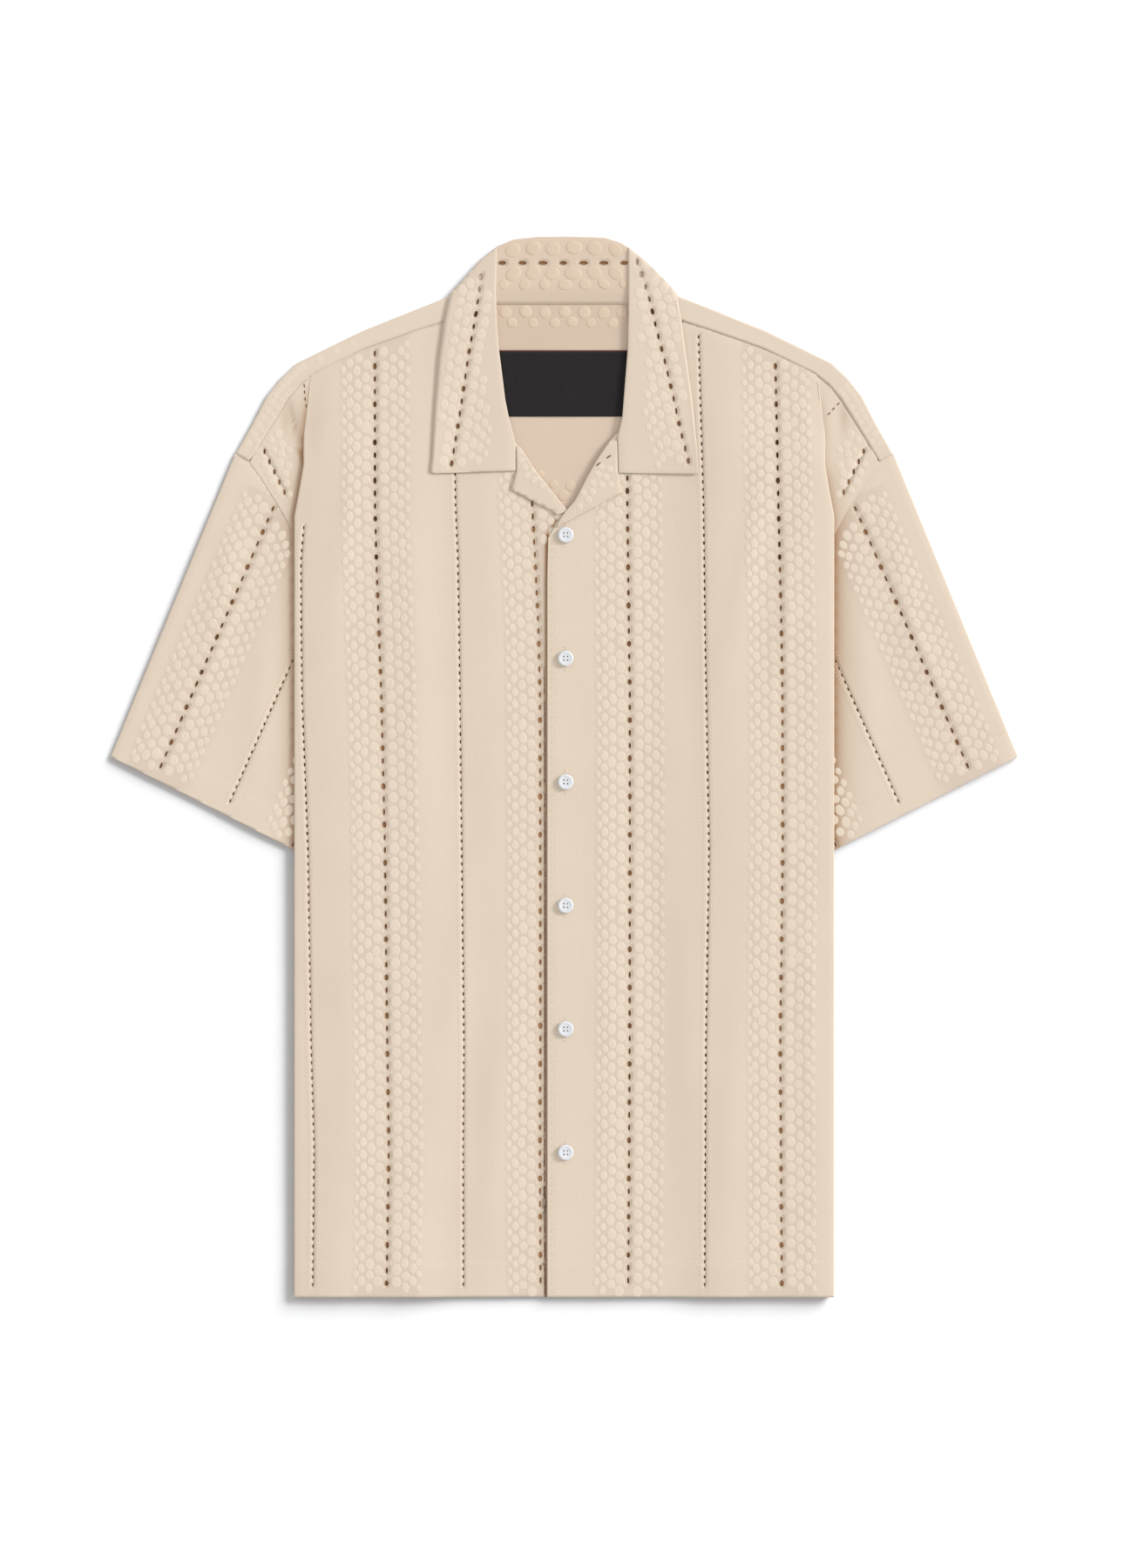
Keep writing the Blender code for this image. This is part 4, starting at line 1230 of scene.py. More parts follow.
@dataclass
class FrontSide:
    """The part of a front beyond its fold, tucked below it."""

    side_name: str
    side: float
    first: float = 196.6
    eyelets: int = 5
    hollow: tuple[float, float] = (201.5, 252.0)

    def line(self, v: Array) -> Array:
        """x of its row of eyelets, on the +X side."""
        return 201.2 + (v - self.first) * 0.489

    def seam(self, v: Array) -> Array:
        """x of its outer edge."""
        return np.interp(v, FRONT_SIDE["y"], FRONT_SIDE["seam"])

    def place(self, u: Array, v: Array) -> Array:
        """The layer's top, with a soft tuck beside the fold, going down below the yoke's band.

        Args:
            u, v: Across it from the shirt's middle, and up it.
        Returns:
            The points.
        """
        tuck = SHOULDER_TUCK.rise(u, v)
        tuck = tuck - 0.5 * np.exp(-(((u - self.hollow[0]) / 4.0) ** 2) - ((v - self.hollow[1]) / 15.0) ** 2)
        tuck = tuck + SHOULDER_VALLEY.rise(u, v) * (self.side < 0.0)
        under = 0.6 * smooth(u - self.seam(v), -0.9, 0.2) * (v > 224.0)
        return np.stack([self.side * u, v, LIE.level(2) + tuck - under], axis=-1)

    def shade(self, x: Array, y: Array) -> Array:
        """Painted shade: a little brown in the hollow, along the valley, beside the fold and at the underarm.

        Args:
            x, y: Places in plan.
        Returns:
            The shade, from 0 to 1.
        """
        u = np.abs(x)
        hollow = 0.22 * np.exp(-(((u - self.hollow[0]) / 3.0) ** 2) - ((y - self.hollow[1]) / 12.0) ** 2)
        fold = np.interp(y, FRONT_FOLD["y"], FRONT_FOLD["x"])
        beside = 0.6 * np.exp(-np.maximum(u - fold, 0.0) / 4.4) * (1.0 - smooth(y, 200.0, 236.0))
        depth = np.where(x < 0.0, 0.95, 0.3) * (1.0 - smooth(y, 250.0, 282.0))
        narrow = depth * np.exp(-np.maximum(u - fold, 0.0) / 2.8)
        valley = 0.4 * np.exp(-(((u - np.interp(y, [212.0, 272.0], [188.0, 200.0])) / 1.3) ** 2)) * (x < 0.0)
        valley = valley * smooth(y, 210.0, 222.0) * (1.0 - smooth(y, 252.0, 272.0))
        return np.clip(np.maximum(hollow + narrow + valley, beside), 0.0, 1.0)

    def make(self, palette: Palette) -> None:
        """Lays rows across it from its hidden edge to the seams of the sleeve and the yoke.

        Args:
            palette: The finishes.
        """
        rows = np.arange(FRONT_SIDE["y"][0], FRONT_SIDE["y"][-1], ROW_PITCH)
        inner = np.interp(rows, FRONT_SIDE["y"], FRONT_SIDE["inner"])
        seam = self.seam(rows)
        middle = np.clip(self.line(rows), inner + 1.0, seam - 1.0)
        room = np.minimum(seam - middle, middle - inner) * 0.9
        left = middle - np.minimum(room, 3.6)
        beside = 10
        columns = [inner + (left - inner) * step / beside for step in range(beside)]
        columns += [middle + np.clip(offset, -room, room) for offset in AROUND_EYELET]
        columns += [(seam + middle + np.minimum(room, 3.6)) / 2.0, seam - 0.6, seam + 1.4 * (rows > 224.0)]
        cloth = Cloth(rows, np.stack(columns, axis=1))
        first = np.argmin(np.abs(rows - self.first)) - 1
        full = np.ones(self.eyelets)
        holes = cloth.open_holes(first + 4 * np.arange(self.eyelets), np.full(self.eyelets, beside + 2), 3,
                                 full * 0.95, full * 2.1)
        name = f"front_{self.side_name}_side"
        cover = cloth.lay(name, self.place, palette.cotton, thickness=0.55, shade=self.shade)
        dots = FRONT_SIDE_DOTS
        full = np.ones(len(dots["x"]))
        spots = Spots(dots["x"], dots["y"], dots["half"] * 0.95, dots["half"] * 1.05, full * 0.2)
        # The slits are dark marks of painted shade.
        slits = FRONT_SIDE_SLITS[self.side_name]
        full = np.ones(len(slits["x"]))
        slits = Spots(slits["x"], slits["y"], full * 1.7, full * 0.62, slits["turn"])
        parts = [scatter(name + "_dots", DOME, spots, DOT_HEIGHT, self.place, palette.dots, 3),
                 scatter(name + "_rims", RIM, rims(holes), RIM_HEIGHT, self.place, palette.rim, 5),
                 scatter(name + "_slits", STITCH, slits, 0.1, self.place, palette.slit, 4)]
        publish(cover, "cotton", name)
        declare(cover, ["back"])


@dataclass
class Sleeve:
    """A sleeve pressed flat: one cloth from its hidden edge over the top, round the fold and back below."""

    side_name: str
    side: float
    head: tuple[float, float] = (237.2, 228.2)
    axis: tuple[float, float] = (0.3797, -0.9251)
    radius: float = 1.15
    cuff: tuple[float, float] = (238.8, 0.0812)
    hem: float = 20.5
    first: tuple[float, float] = (40.6, 36.2)
    ladder: tuple[float, float] = (98.4, 92.2)
    third: tuple[float, float] = (150.4, 146.4)
    hidden: float = 160.0
    inner: float = 166.0

    def line(self, ends: tuple[float, float]) -> Line:
        """u of a straight line down the sleeve, from its u near the head to its u near the cuff."""
        return lambda v: ends[0] + (ends[1] - ends[0]) * (v - 28.0) / 213.0

    def plan(self, u: Array, v: Array) -> tuple[Array, Array]:
        """Places in plan on the +X side: v along the outer fold from the sleeve's head, u inwards from it."""
        x = self.head[0] + v * self.axis[0] + u * self.axis[1]
        y = self.head[1] + v * self.axis[1] - u * self.axis[0]
        return x, y

    def place(self, u: Array, v: Array) -> Array:
        """The top, then round the outer fold and on below.

        Args:
            u: The distance inwards on the top, which runs negative round the fold and on below.
            v: The distance from the sleeve's head along the fold.
        Returns:
            The points.
        """
        turn = np.clip((self.radius - u) / self.radius, 0.0, np.pi)
        below = np.maximum(self.radius * (1.0 - np.pi) - u, 0.0)
        reach = np.where(u > self.radius, u, self.radius - self.radius * np.sin(turn) + below)
        drop = self.radius * (1.0 - np.cos(turn))
        x, y = self.plan(reach, v)
        top = LIE.sleeve(x, y)
        z = top - drop * top / (2.0 * self.radius)
        hem = 0.2 * smooth(v - self.low_edge(reach), -self.hem, 1.0 - self.hem) * (u > self.radius)
        steep = 1.0 + 1.6 * smooth(u, 38.0, 60.0)
        tuck = 0.35 * (1.0 - smooth((v - self.seam(u, v)) / steep, -0.2, 1.6)) * (u > self.radius)
        return np.stack([self.side * x, y, z + hem - tuck], axis=-1)

    def low_edge(self, reach: Array) -> Array:
        """v of the cuff."""
        return self.cuff[0] + self.cuff[1] * reach

    def reach(self, u: Array) -> Array:
        """The distance inwards, on the top or below."""
        return np.where(u > self.radius, u, np.maximum(self.radius * (1.0 - np.pi) - u, 0.0) + self.radius)

    def seam(self, u: Array, v: Array) -> Array:
        """v of the armhole's seam, and further in of the hidden edge below the body."""
        return np.interp(self.reach(u), ARMHOLE["u"], ARMHOLE["v"])

    def tone(self, x: Array, y: Array) -> Array:
        """A little darker in the stripe."""
        u, v = self.flat(x, y)
        return 0.62 * (1.0 - smooth(np.abs(u - 40.6 + 0.0206 * (v - 28.0)), 22.0, 26.0)) * (v > 20.0)

    def shade(self, x: Array, y: Array) -> Array:
        """Painted shadow: brown beside the body, which lies higher.

        Args:
            x, y: Places in plan.
        Returns:
            The shade, from 0 to 1.
        """
        fold = np.interp(y, FRONT_FOLD["y"], FRONT_FOLD["x"])
        strength = np.where(x > 0.0, 1.0, 0.82)
        reach = np.where(x > 0.0, 6.2, 4.8)
        return strength * np.exp(-np.maximum(np.abs(x) - fold, 0.0) / reach) * (1.0 - smooth(y, 190.0, 215.0))

    def flat(self, x: Array, y: Array) -> tuple[Array, Array]:
        """u and v on the top of a place in plan: plan's turn undone."""
        right, up = np.abs(x) - self.head[0], y - self.head[1]
        return right * self.axis[1] - up * self.axis[0], right * self.axis[0] + up * self.axis[1]

    def make(self, palette: Palette) -> None:
        """Builds the cloth and its embroidery.

        Args:
            palette: The finishes.
        """
        rows = np.arange(0.0, 256.0, ROW_PITCH)
        edge = tuple(self.radius * (1.0 - turn) for turn in (3.6, 3.0, 2.4, 1.8, 1.2, 0.6, 0.0))
        full = np.ones(len(rows))
        first_line, third_line, ladder_line = (self.line(ends) for ends in (self.first, self.third, self.ladder))
        guides = [(full * -self.hidden, (0.0,)), (full * 0.0, edge), (first_line(rows), AROUND_EYELET),
                  (ladder_line(rows), AROUND_LADDER), (third_line(rows), AROUND_EYELET),
                  (full * self.inner, (0.0,))]
        columns, own = columns_between(guides, 5.2)
        cloth = Cloth(rows, columns)
        cloth.trim(lambda u, v: self.seam(u, v) - 1.5 * (1.0 + 1.6 * smooth(u, 38.0, 60.0)) * (u > self.radius),
                   lambda u, v: self.low_edge(self.reach(u)))
        first = Stripe(first_line, 45.0, (24.0, 236.0))
        third = Stripe(third_line, 236.0, (120.0, 252.0))
        holes = [first.open_in(cloth, rows, own[2], 7), third.open_in(cloth, rows, own[4], 8, (236.0, 246.0))]
        small = open_ladder(cloth, rows, own[3], (120.0, 238.0), 9)
        name = f"sleeve_{self.side_name}"
        # Its inner faces take the painted shade between the layers.
        cover = cloth.lay(name, self.place, palette.cotton, tone=self.tone, shade=self.shade,
                          under=palette.shaded)
        dots = first.dots(15) + third.dots(16)
        clear = np.maximum(dots.half_u, dots.half_v) + 0.8
        x, y = self.plan(dots.u, dots.v)
        inside = (dots.v - clear > self.seam(dots.u + clear, dots.v)) & (dots.v + clear < self.low_edge(dots.u))
        inside &= (dots.u - clear > 1.0) & (x - clear > 189.0)
        stitches = lines_beside(ladder_line, (118.0, 244.0), (-3.4, 3.4))
        hem_v = self.cuff[0] - self.hem
        hem_path = [(1.5, hem_v), (156.0, hem_v + 156.0 * self.cuff[1])]
        stitches = stitches + along(hem_path, STITCH_PITCH, STITCH_HALF)
        x, y = self.plan(stitches.u, stitches.v)
        stitches = stitches.where((x > 187.0) & (stitches.v > self.seam(stitches.u, stitches.v) + 1.0))
        parts = [scatter(name + "_dots", DOME, dots.where(inside), DOT_HEIGHT, self.place, palette.dots, 3),
                 scatter(name + "_rims", RIM, rims(np.concatenate(holes)), RIM_HEIGHT, self.place, palette.rim, 5),
                 scatter(name + "_ladder_rims", SMALL_RIM, rims(small), SMALL_RIM_HEIGHT, self.place,
                    palette.rim, 6),
                 scatter(name + "_stitches", STITCH, stitches, STITCH_HEIGHT, self.place, palette.stitch, 7)]
        publish(cover, "cotton", f"sleeve_{self.side_name}_upper", f"sleeve_{self.side_name}_under")
        declare(cover, ["back"])


@dataclass
class Body:
    """The back and the yoke, whose inner layer runs on down behind the label."""

    facing: float = 37.0

    def place(self, u: Array, v: Array) -> Array:
        """The lowest layer, flat."""
        return np.stack([u, v, np.full_like(u, LIE.level(1))], axis=-1)

    def facing_at(self, u: Array) -> Array:
        """How far the yoke's inner layer runs on below its seam: full at the middle, and none at the sides."""
        return self.facing * (1.0 - smooth(np.abs(u), 50.0, 60.0))

    def make_back(self, palette: Palette) -> None:
        """The back panel: its underside shows the cotton, its inside the painted shade between the layers.

        Args:
            palette: The finishes.
        """
        rows = np.linspace(HEM_Y + 1.0, YOKE_SEAM_Y, 120)
        side = np.interp(rows, BACK_SIDE["y"], BACK_SIDE["x"])
        cloth = Cloth(rows, side[:, None] * np.linspace(-1.0, 1.0, 60)[None, :])
        cloth.trim(high=lambda u, v: YOKE_SEAM_Y - self.facing_at(u))
        cover = cloth.lay("back", self.place, palette.shaded, thickness=0.9, under=palette.cotton)
        publish(cover, "cotton", "back")
        declare(cover, ["floor"])

    def tone(self, x: Array, y: Array) -> Array:
        """Darker between the label and the collar."""
        return 0.3 + 0.6 * smooth(y, 298.0, 304.0)

    def shade(self, x: Array, y: Array) -> Array:
        """Painted shade: brown where the fronts cover it, which shows through their eyelets."""
        opening = np.interp(y, [186.0, 217.0, 300.0], [9.0, 38.0, 54.0])
        return smooth(np.abs(x) - opening, 2.0, 6.0)

    def low(self, u: Array, v: Array) -> Array:
        """v of the yoke's lower edge."""
        return np.interp(np.abs(u), [214.0, 233.5], [YOKE_SEAM_Y + 0.3, 228.5]) - self.facing_at(u)

    def make_yoke(self, palette: Palette) -> None:
        """The yoke's back part, seen from inside through the neck.

        Args:
            palette: The finishes.
        """
        cloth = Cloth(np.linspace(YOKE_SEAM_Y - self.facing, 342.0, 70), np.linspace(-233.5, 233.5, 110))
        cloth.trim(self.low, lambda u, v: np.interp(u, YOKE_TOP["x"], YOKE_TOP["y"]))
        cover = cloth.lay("yoke", self.place, palette.inside, 0.9, tone=self.tone, shade=self.shade,
                          under=palette.cotton)
        half = YOKE_DOTS["half"]
        spots = Spots(YOKE_DOTS["x"], YOKE_DOTS["y"], half, half * 0.97, YOKE_DOTS["x"] * 0.02)
        parts = [scatter("yoke_inside_dots", DOME, spots, 0.3, self.place, palette.dots_inside, 8)]
        publish(cover, "cotton", "yoke")
        declare(cover, ["back"])


@dataclass
class SideFold:
    """A folded side of the body: its two hidden layers as one closed piece, round at its outer edge."""

    side_name: str
    side: float
    inner: float = 118.0
    bottom: float = HEM_Y + 0.6
    top: float = 148.0

    def section(self, outer: Array) -> tuple[Array, Array]:
        """The cut across it at each row: two half circles at the outer edge, then the flat inner edge.

        Args:
            outer: x of the outer edge at each row.
        Returns:
            x and z of its points, row by row.
        """
        turn = np.linspace(-np.pi / 2.0, np.pi / 2.0, 7)
        half = LIE.fold / 4.0
        inset = np.concatenate([half - half * np.cos(turn)] * 2)
        z = np.concatenate([half + half * np.sin(turn), 3.0 * half + half * np.sin(turn)])
        z += LIE.level(1) + LIE.gap
        back = np.linspace(z[-1], z[0], 4)
        x = np.concatenate([outer[:, None] - inset, np.full((len(outer), len(back)), self.inner)], axis=1)
        return x, np.broadcast_to(np.concatenate([z, back]), x.shape)

    def make(self, palette: Palette) -> None:
        """Carries the section up the side.

        Args:
            palette: The finishes.
        """
        y = np.linspace(self.bottom, self.top, 60)
        outer = np.interp(y, SIDE_FOLD["y"], SIDE_FOLD["x"])
        x, z = self.section(outer)
        points = np.stack([self.side * x, np.broadcast_to(y[:, None], x.shape), z], axis=-1).reshape(-1, 3)
        count = x.shape[1]
        row, column = np.arange(len(y) - 1)[:, None] * count, np.arange(count)[None, :]
        onward = (column + 1) % count
        quads = np.stack([row + column, row + column + count, row + onward + count, row + onward], -1)
        caps = np.stack([np.arange(count), np.arange(count)[::-1] + (len(y) - 1) * count])
        faces = [quads.reshape(-1, 4), caps]
        if self.side < 0.0:
            faces = [group[:, ::-1] for group in faces]
        name = f"side_fold_{self.side_name}"
        # Painted shade all over: these faces lie hidden between the layers.
        made = make_object(name + "_cloth", points, faces, palette.shaded)
        add_uv(made, "cut", points[:, :2])
        made.data.attributes.new("tone", "FLOAT", "POINT")
        publish(made, "cotton", name)
        flat = (float(outer.max() - self.inner) * MM, (self.top - self.bottom) * MM)


@dataclass
class ShoulderBand:
    """The yoke's front band: ruled from its outer edge to the front's seam, and rolled over the shoulder."""

    side_name: str
    side: float
    radius: float = 1.15
    dot_rows: tuple[float, float] = (0.32, 0.74)
    first_dot: float = 0.05
    dot_pitch: float = 0.0345

    def ends(self, v: Array) -> tuple[Array, Array]:
        """The band's outer edge and its seam at a share v along it, on the +X side."""
        share = np.linspace(0.0, 1.0, len(SHOULDER["edge_x"]))
        at = {name: np.interp(v, share, column) for name, column in SHOULDER.items()}
        return np.stack([at["edge_x"], at["edge_y"]], -1), np.stack([at["seam_x"], at["seam_y"]], -1)

    def place(self, u: Array, v: Array) -> Array:
        """The band flat on the layers below, and its roll.

        Args:
            u: The share across the band, or the distance round the roll below zero.
            v: The share along it.
        Returns:
            The points.
        """
        edge, seam = self.ends(v)
        run = seam - edge
        width = np.linalg.norm(run, axis=-1)
        flat = np.where(u > 0.0, self.radius + np.maximum(u, 0.0) * (width - self.radius), 0.0)
        turn = np.clip(-u / self.radius, 0.0, np.pi)
        reach = np.where(u > 0.0, flat, self.radius - self.radius * np.sin(turn))
        plan = edge + run / width[..., None] * reach[..., None]
        z = LIE.level(2) - self.radius * (1.0 - np.cos(turn))
        return np.stack([self.side * plan[..., 0], plan[..., 1], z], -1)

    def cut(self, u: Array, v: Array) -> Array:
        """The flat cut: the band with its roll opened out, turned so that it runs along an axis.

        Args:
            u, v: As for place.
        Returns:
            Its flat coordinates.
        """
        edge, seam = self.ends(v)
        run = seam - edge
        opened = np.where(u > 0.0, u, u / np.linalg.norm(run, axis=-1))
        x, y = np.moveaxis(edge + run * opened[..., None], -1, 0)
        turn = np.arctan2(-105.0, 140.0)
        return np.stack([x * np.cos(turn) + y * np.sin(turn), y * np.cos(turn) - x * np.sin(turn)], -1)

    def dots(self) -> Spots:
        """A row of dots along the band, and a second one of smaller dots beside its outer part.

        Returns:
            Their spots, in plan.
        """
        fine = np.arange(self.first_dot, 0.36 if self.side > 0.0 else 0.62, self.dot_pitch)
        random = np.random.default_rng(21)
        size = random.uniform(2.3, 2.8, len(fine))
        turn = random.uniform(-0.8, 0.8, len(fine))
        centre = self.place(np.full(len(fine), self.dot_rows[0]), fine)
        second = self.place(np.full(len(fine), self.dot_rows[1]), fine + self.dot_pitch / 2.0)
        row = Spots(centre[:, 0], centre[:, 1], size, size * 1.1, turn)
        return row + Spots(second[:, 0], second[:, 1], size * 0.75, size * 0.85, turn).where(fine < 0.3)

    def make(self, palette: Palette) -> None:
        """Builds the band, its stitches along the seam and its dots.

        Args:
            palette: The finishes.
        """
        arc = np.linspace(-3.0 * self.radius, 0.0, 8)
        cloth = Cloth(np.linspace(0.0, 1.0, 90), np.concatenate([arc, np.linspace(0.1, 1.0, 8)]))
        name = f"shoulder_{self.side_name}"
        # Painted shade below the collar's leaves.
        cover = cloth.lay(name, self.place, palette.cotton, thickness=0.55, shade=below_collar, flat=self.cut)
        flat = on_top(lambda x, y: np.full_like(x, LIE.level(2)))
        seam = np.stack([self.side * SHOULDER["seam_x"], SHOULDER["seam_y"]], -1)
        inward = np.stack([self.side * SHOULDER["edge_x"], SHOULDER["edge_y"]], -1) - seam
        inward /= np.linalg.norm(inward, axis=-1, keepdims=True)
        stitches = along(seam + 1.6 * inward, STITCH_PITCH, STITCH_HALF)
        parts = [scatter(name + "_stitches", STITCH, stitches, STITCH_HEIGHT, flat, palette.stitch, 11),
                 scatter(name + "_dots", DOME, self.dots(), DOT_HEIGHT / 2.0, flat, palette.dots, 12)]
        publish(cover, "cotton", name)
        declare(cover, ["yoke"])


@dataclass
class Leaf:
    """A leaf of the collar, or a lapel: cloth between a free edge and a roll edge."""

    name: str
    direction: float
    under: Height
    lift: float
    span: tuple[float, float]
    edge: dict[str, Array]
    roll: dict[str, Array]
    bottom: dict[str, Array]
    top: dict[str, Array]
    seam: dict[str, Array]
    eyelets: Optional[dict[str, Array]] = None
    dots: Optional[dict[str, Array]] = None
    slits: Optional[dict[str, Array]] = None
    plain: float = 11.0
    radius: float = 1.0

    def low(self, x: Array) -> Array:
        """y of the lower edge."""
        return np.interp(x, self.bottom["x"], self.bottom["y"])

    def high(self, x: Array) -> Array:
        """y of the upper edge."""
        return np.interp(x, self.top["x"], self.top["y"])

    def height(self, x: Array, y: Array) -> Array:
        """The top of the leaf, above the front that it lies on."""
        return self.under(x, y) + self.lift

    def edge_at(self, v: Array) -> Array:
        """x of the free edge."""
        return np.interp(v, self.edge["y"], self.edge["x"])

    def width(self, v: Array) -> Array:
        """From the free edge to the roll edge."""
        roll = np.interp(v, self.roll["y"], self.roll["x"])
        return np.maximum(self.direction * (roll - self.edge_at(v)), 1.5)

    def line(self, v: Array) -> Array:
        """u of the row of eyelets."""
        x = np.interp(v, self.eyelets["y"], self.eyelets["x"])
        return self.direction * (x - self.edge_at(v))

    def x_of(self, u: Array, v: Array) -> Array:
        """x of a flat point."""
        return self.edge_at(v) + self.direction * u

    def place(self, u: Array, v: Array) -> Array:
        """Flat to the layer's top, and round the roll.

        Args:
            u: The distance from the free edge.
            v: y.
        Returns:
            The points.
        """
        reach, drop = rolled(u, self.width(v), self.radius)
        x = self.x_of(reach, v)
        near_top = 0.6 * (1.0 - smooth(self.high(x) - v, 0.0, 3.0)) + 0.7 * smooth(v, 325.0, 365.0)
        return np.stack([x, v, self.height(x, v) - drop - near_top], axis=-1)

    def tone(self, x: Array, y: Array) -> Array:
        """A little darker all over than the fronts."""
        return np.full_like(x, 0.3)

    def striped(self, palette: Palette, cloth: Cloth, rows: Array, column: int) -> list[bpy.types.Object]:
        """Opens the eyelets, and makes their rims and the stripe's dots.

        Args:
            palette: The finishes.
            cloth: The cloth.
            rows: v of its rows.
            column: The column that follows the eyelets.
        Returns:
            The pieces.
        """
        first, last = float(self.eyelets["y"][0]), float(self.eyelets["y"][-1])
        stripe = Stripe(self.line, first, (self.span[0] + 1.0, self.span[1]))
        holes = stripe.open_in(cloth, rows, column, 3, (first - 1.0, last + 3.0))
        dots = stripe.dots(9)
        clear = np.maximum(dots.half_u, dots.half_v)
        x = self.x_of(dots.u, dots.v)
        plain = self.plain * (1.0 - 0.8 * smooth(dots.v, 285.0, 330.0))
        inside = (dots.u - clear > 2.2) & (dots.u + clear < self.width(dots.v) - plain)
        inside &= (dots.v - clear > self.low(x) + 2.6) & (dots.v + clear < self.high(x) - 1.5)
        return [scatter(self.name + "_rims", RIM, rims(holes), RIM_HEIGHT, self.place, palette.rim, 5),
                scatter(self.name + "_dots", DOME, dots.where(inside), DOT_HEIGHT, self.place, palette.dots, 6)]

    def loose(self, table_: dict[str, Array], half: tuple[Array, Array]) -> Spots:
        """The spots of dots or slits that follow no stripe.

        Args:
            table_: Their x and y.
            half: Half their width and length.
        Returns:
            The spots.
        """
        u = self.direction * (table_["x"] - self.edge_at(table_["y"]))
        return Spots(u, table_["y"], *half, np.full(len(u), -0.6))

    def make(self, palette: Palette) -> None:
        """Builds the cloth, its eyelets and dots, and its edge stitching.

        Args:
            palette: The finishes.
        """
        rows = np.arange(*self.span, 1.8)
        arc = tuple(self.radius * (turn - 1.0) for turn in (0.0, 0.5, 1.0, 1.5, 2.0, 2.6, 3.2, 5.0))
        guides = [(np.zeros(len(rows)), (0.0,))]
        if self.eyelets is not None:
            guides.append((self.line(rows), AROUND_EYELET))
        guides.append((self.width(rows), arc))
        columns, own = columns_between(guides, 3.4)
        cloth = Cloth(rows, columns)
        cloth.trim(*((lambda u, v, end=end: end(self.x_of(rolled(u, self.width(v), self.radius)[0], v)))
                     for end in (self.low, self.high)))
        parts = [] if self.eyelets is None else self.striped(palette, cloth, rows, own[1])
        if self.dots is not None:
            spots = self.loose(self.dots, (self.dots["half"], self.dots["half"]))
            parts.append(scatter(self.name + "_dots", DOME, spots, DOT_HEIGHT, self.place, palette.dots, 6))
        # The slits are dark marks of painted shade.
        if self.slits is not None:
            full = np.ones(len(self.slits["x"]))
            spots = self.loose(self.slits, (full * 2.3, full * 0.65))
            parts.append(scatter(self.name + "_slits", DOME, spots, 0.1, self.place, palette.slit, 6))
        cover = cloth.lay(self.name, self.place, palette.cotton, tone=self.tone)
        stitches = along(np.stack([self.seam["x"], self.seam["y"]], -1), 2.3, (0.75, 0.25))
        parts.append(scatter(self.name + "_stitches", STITCH, stitches, STITCH_HEIGHT, on_top(self.height),
                             palette.stitch, 7))
        publish(cover, "cotton", self.name)
        declare(cover, ["front_left" if self.direction < 0.0 else "front_right"])


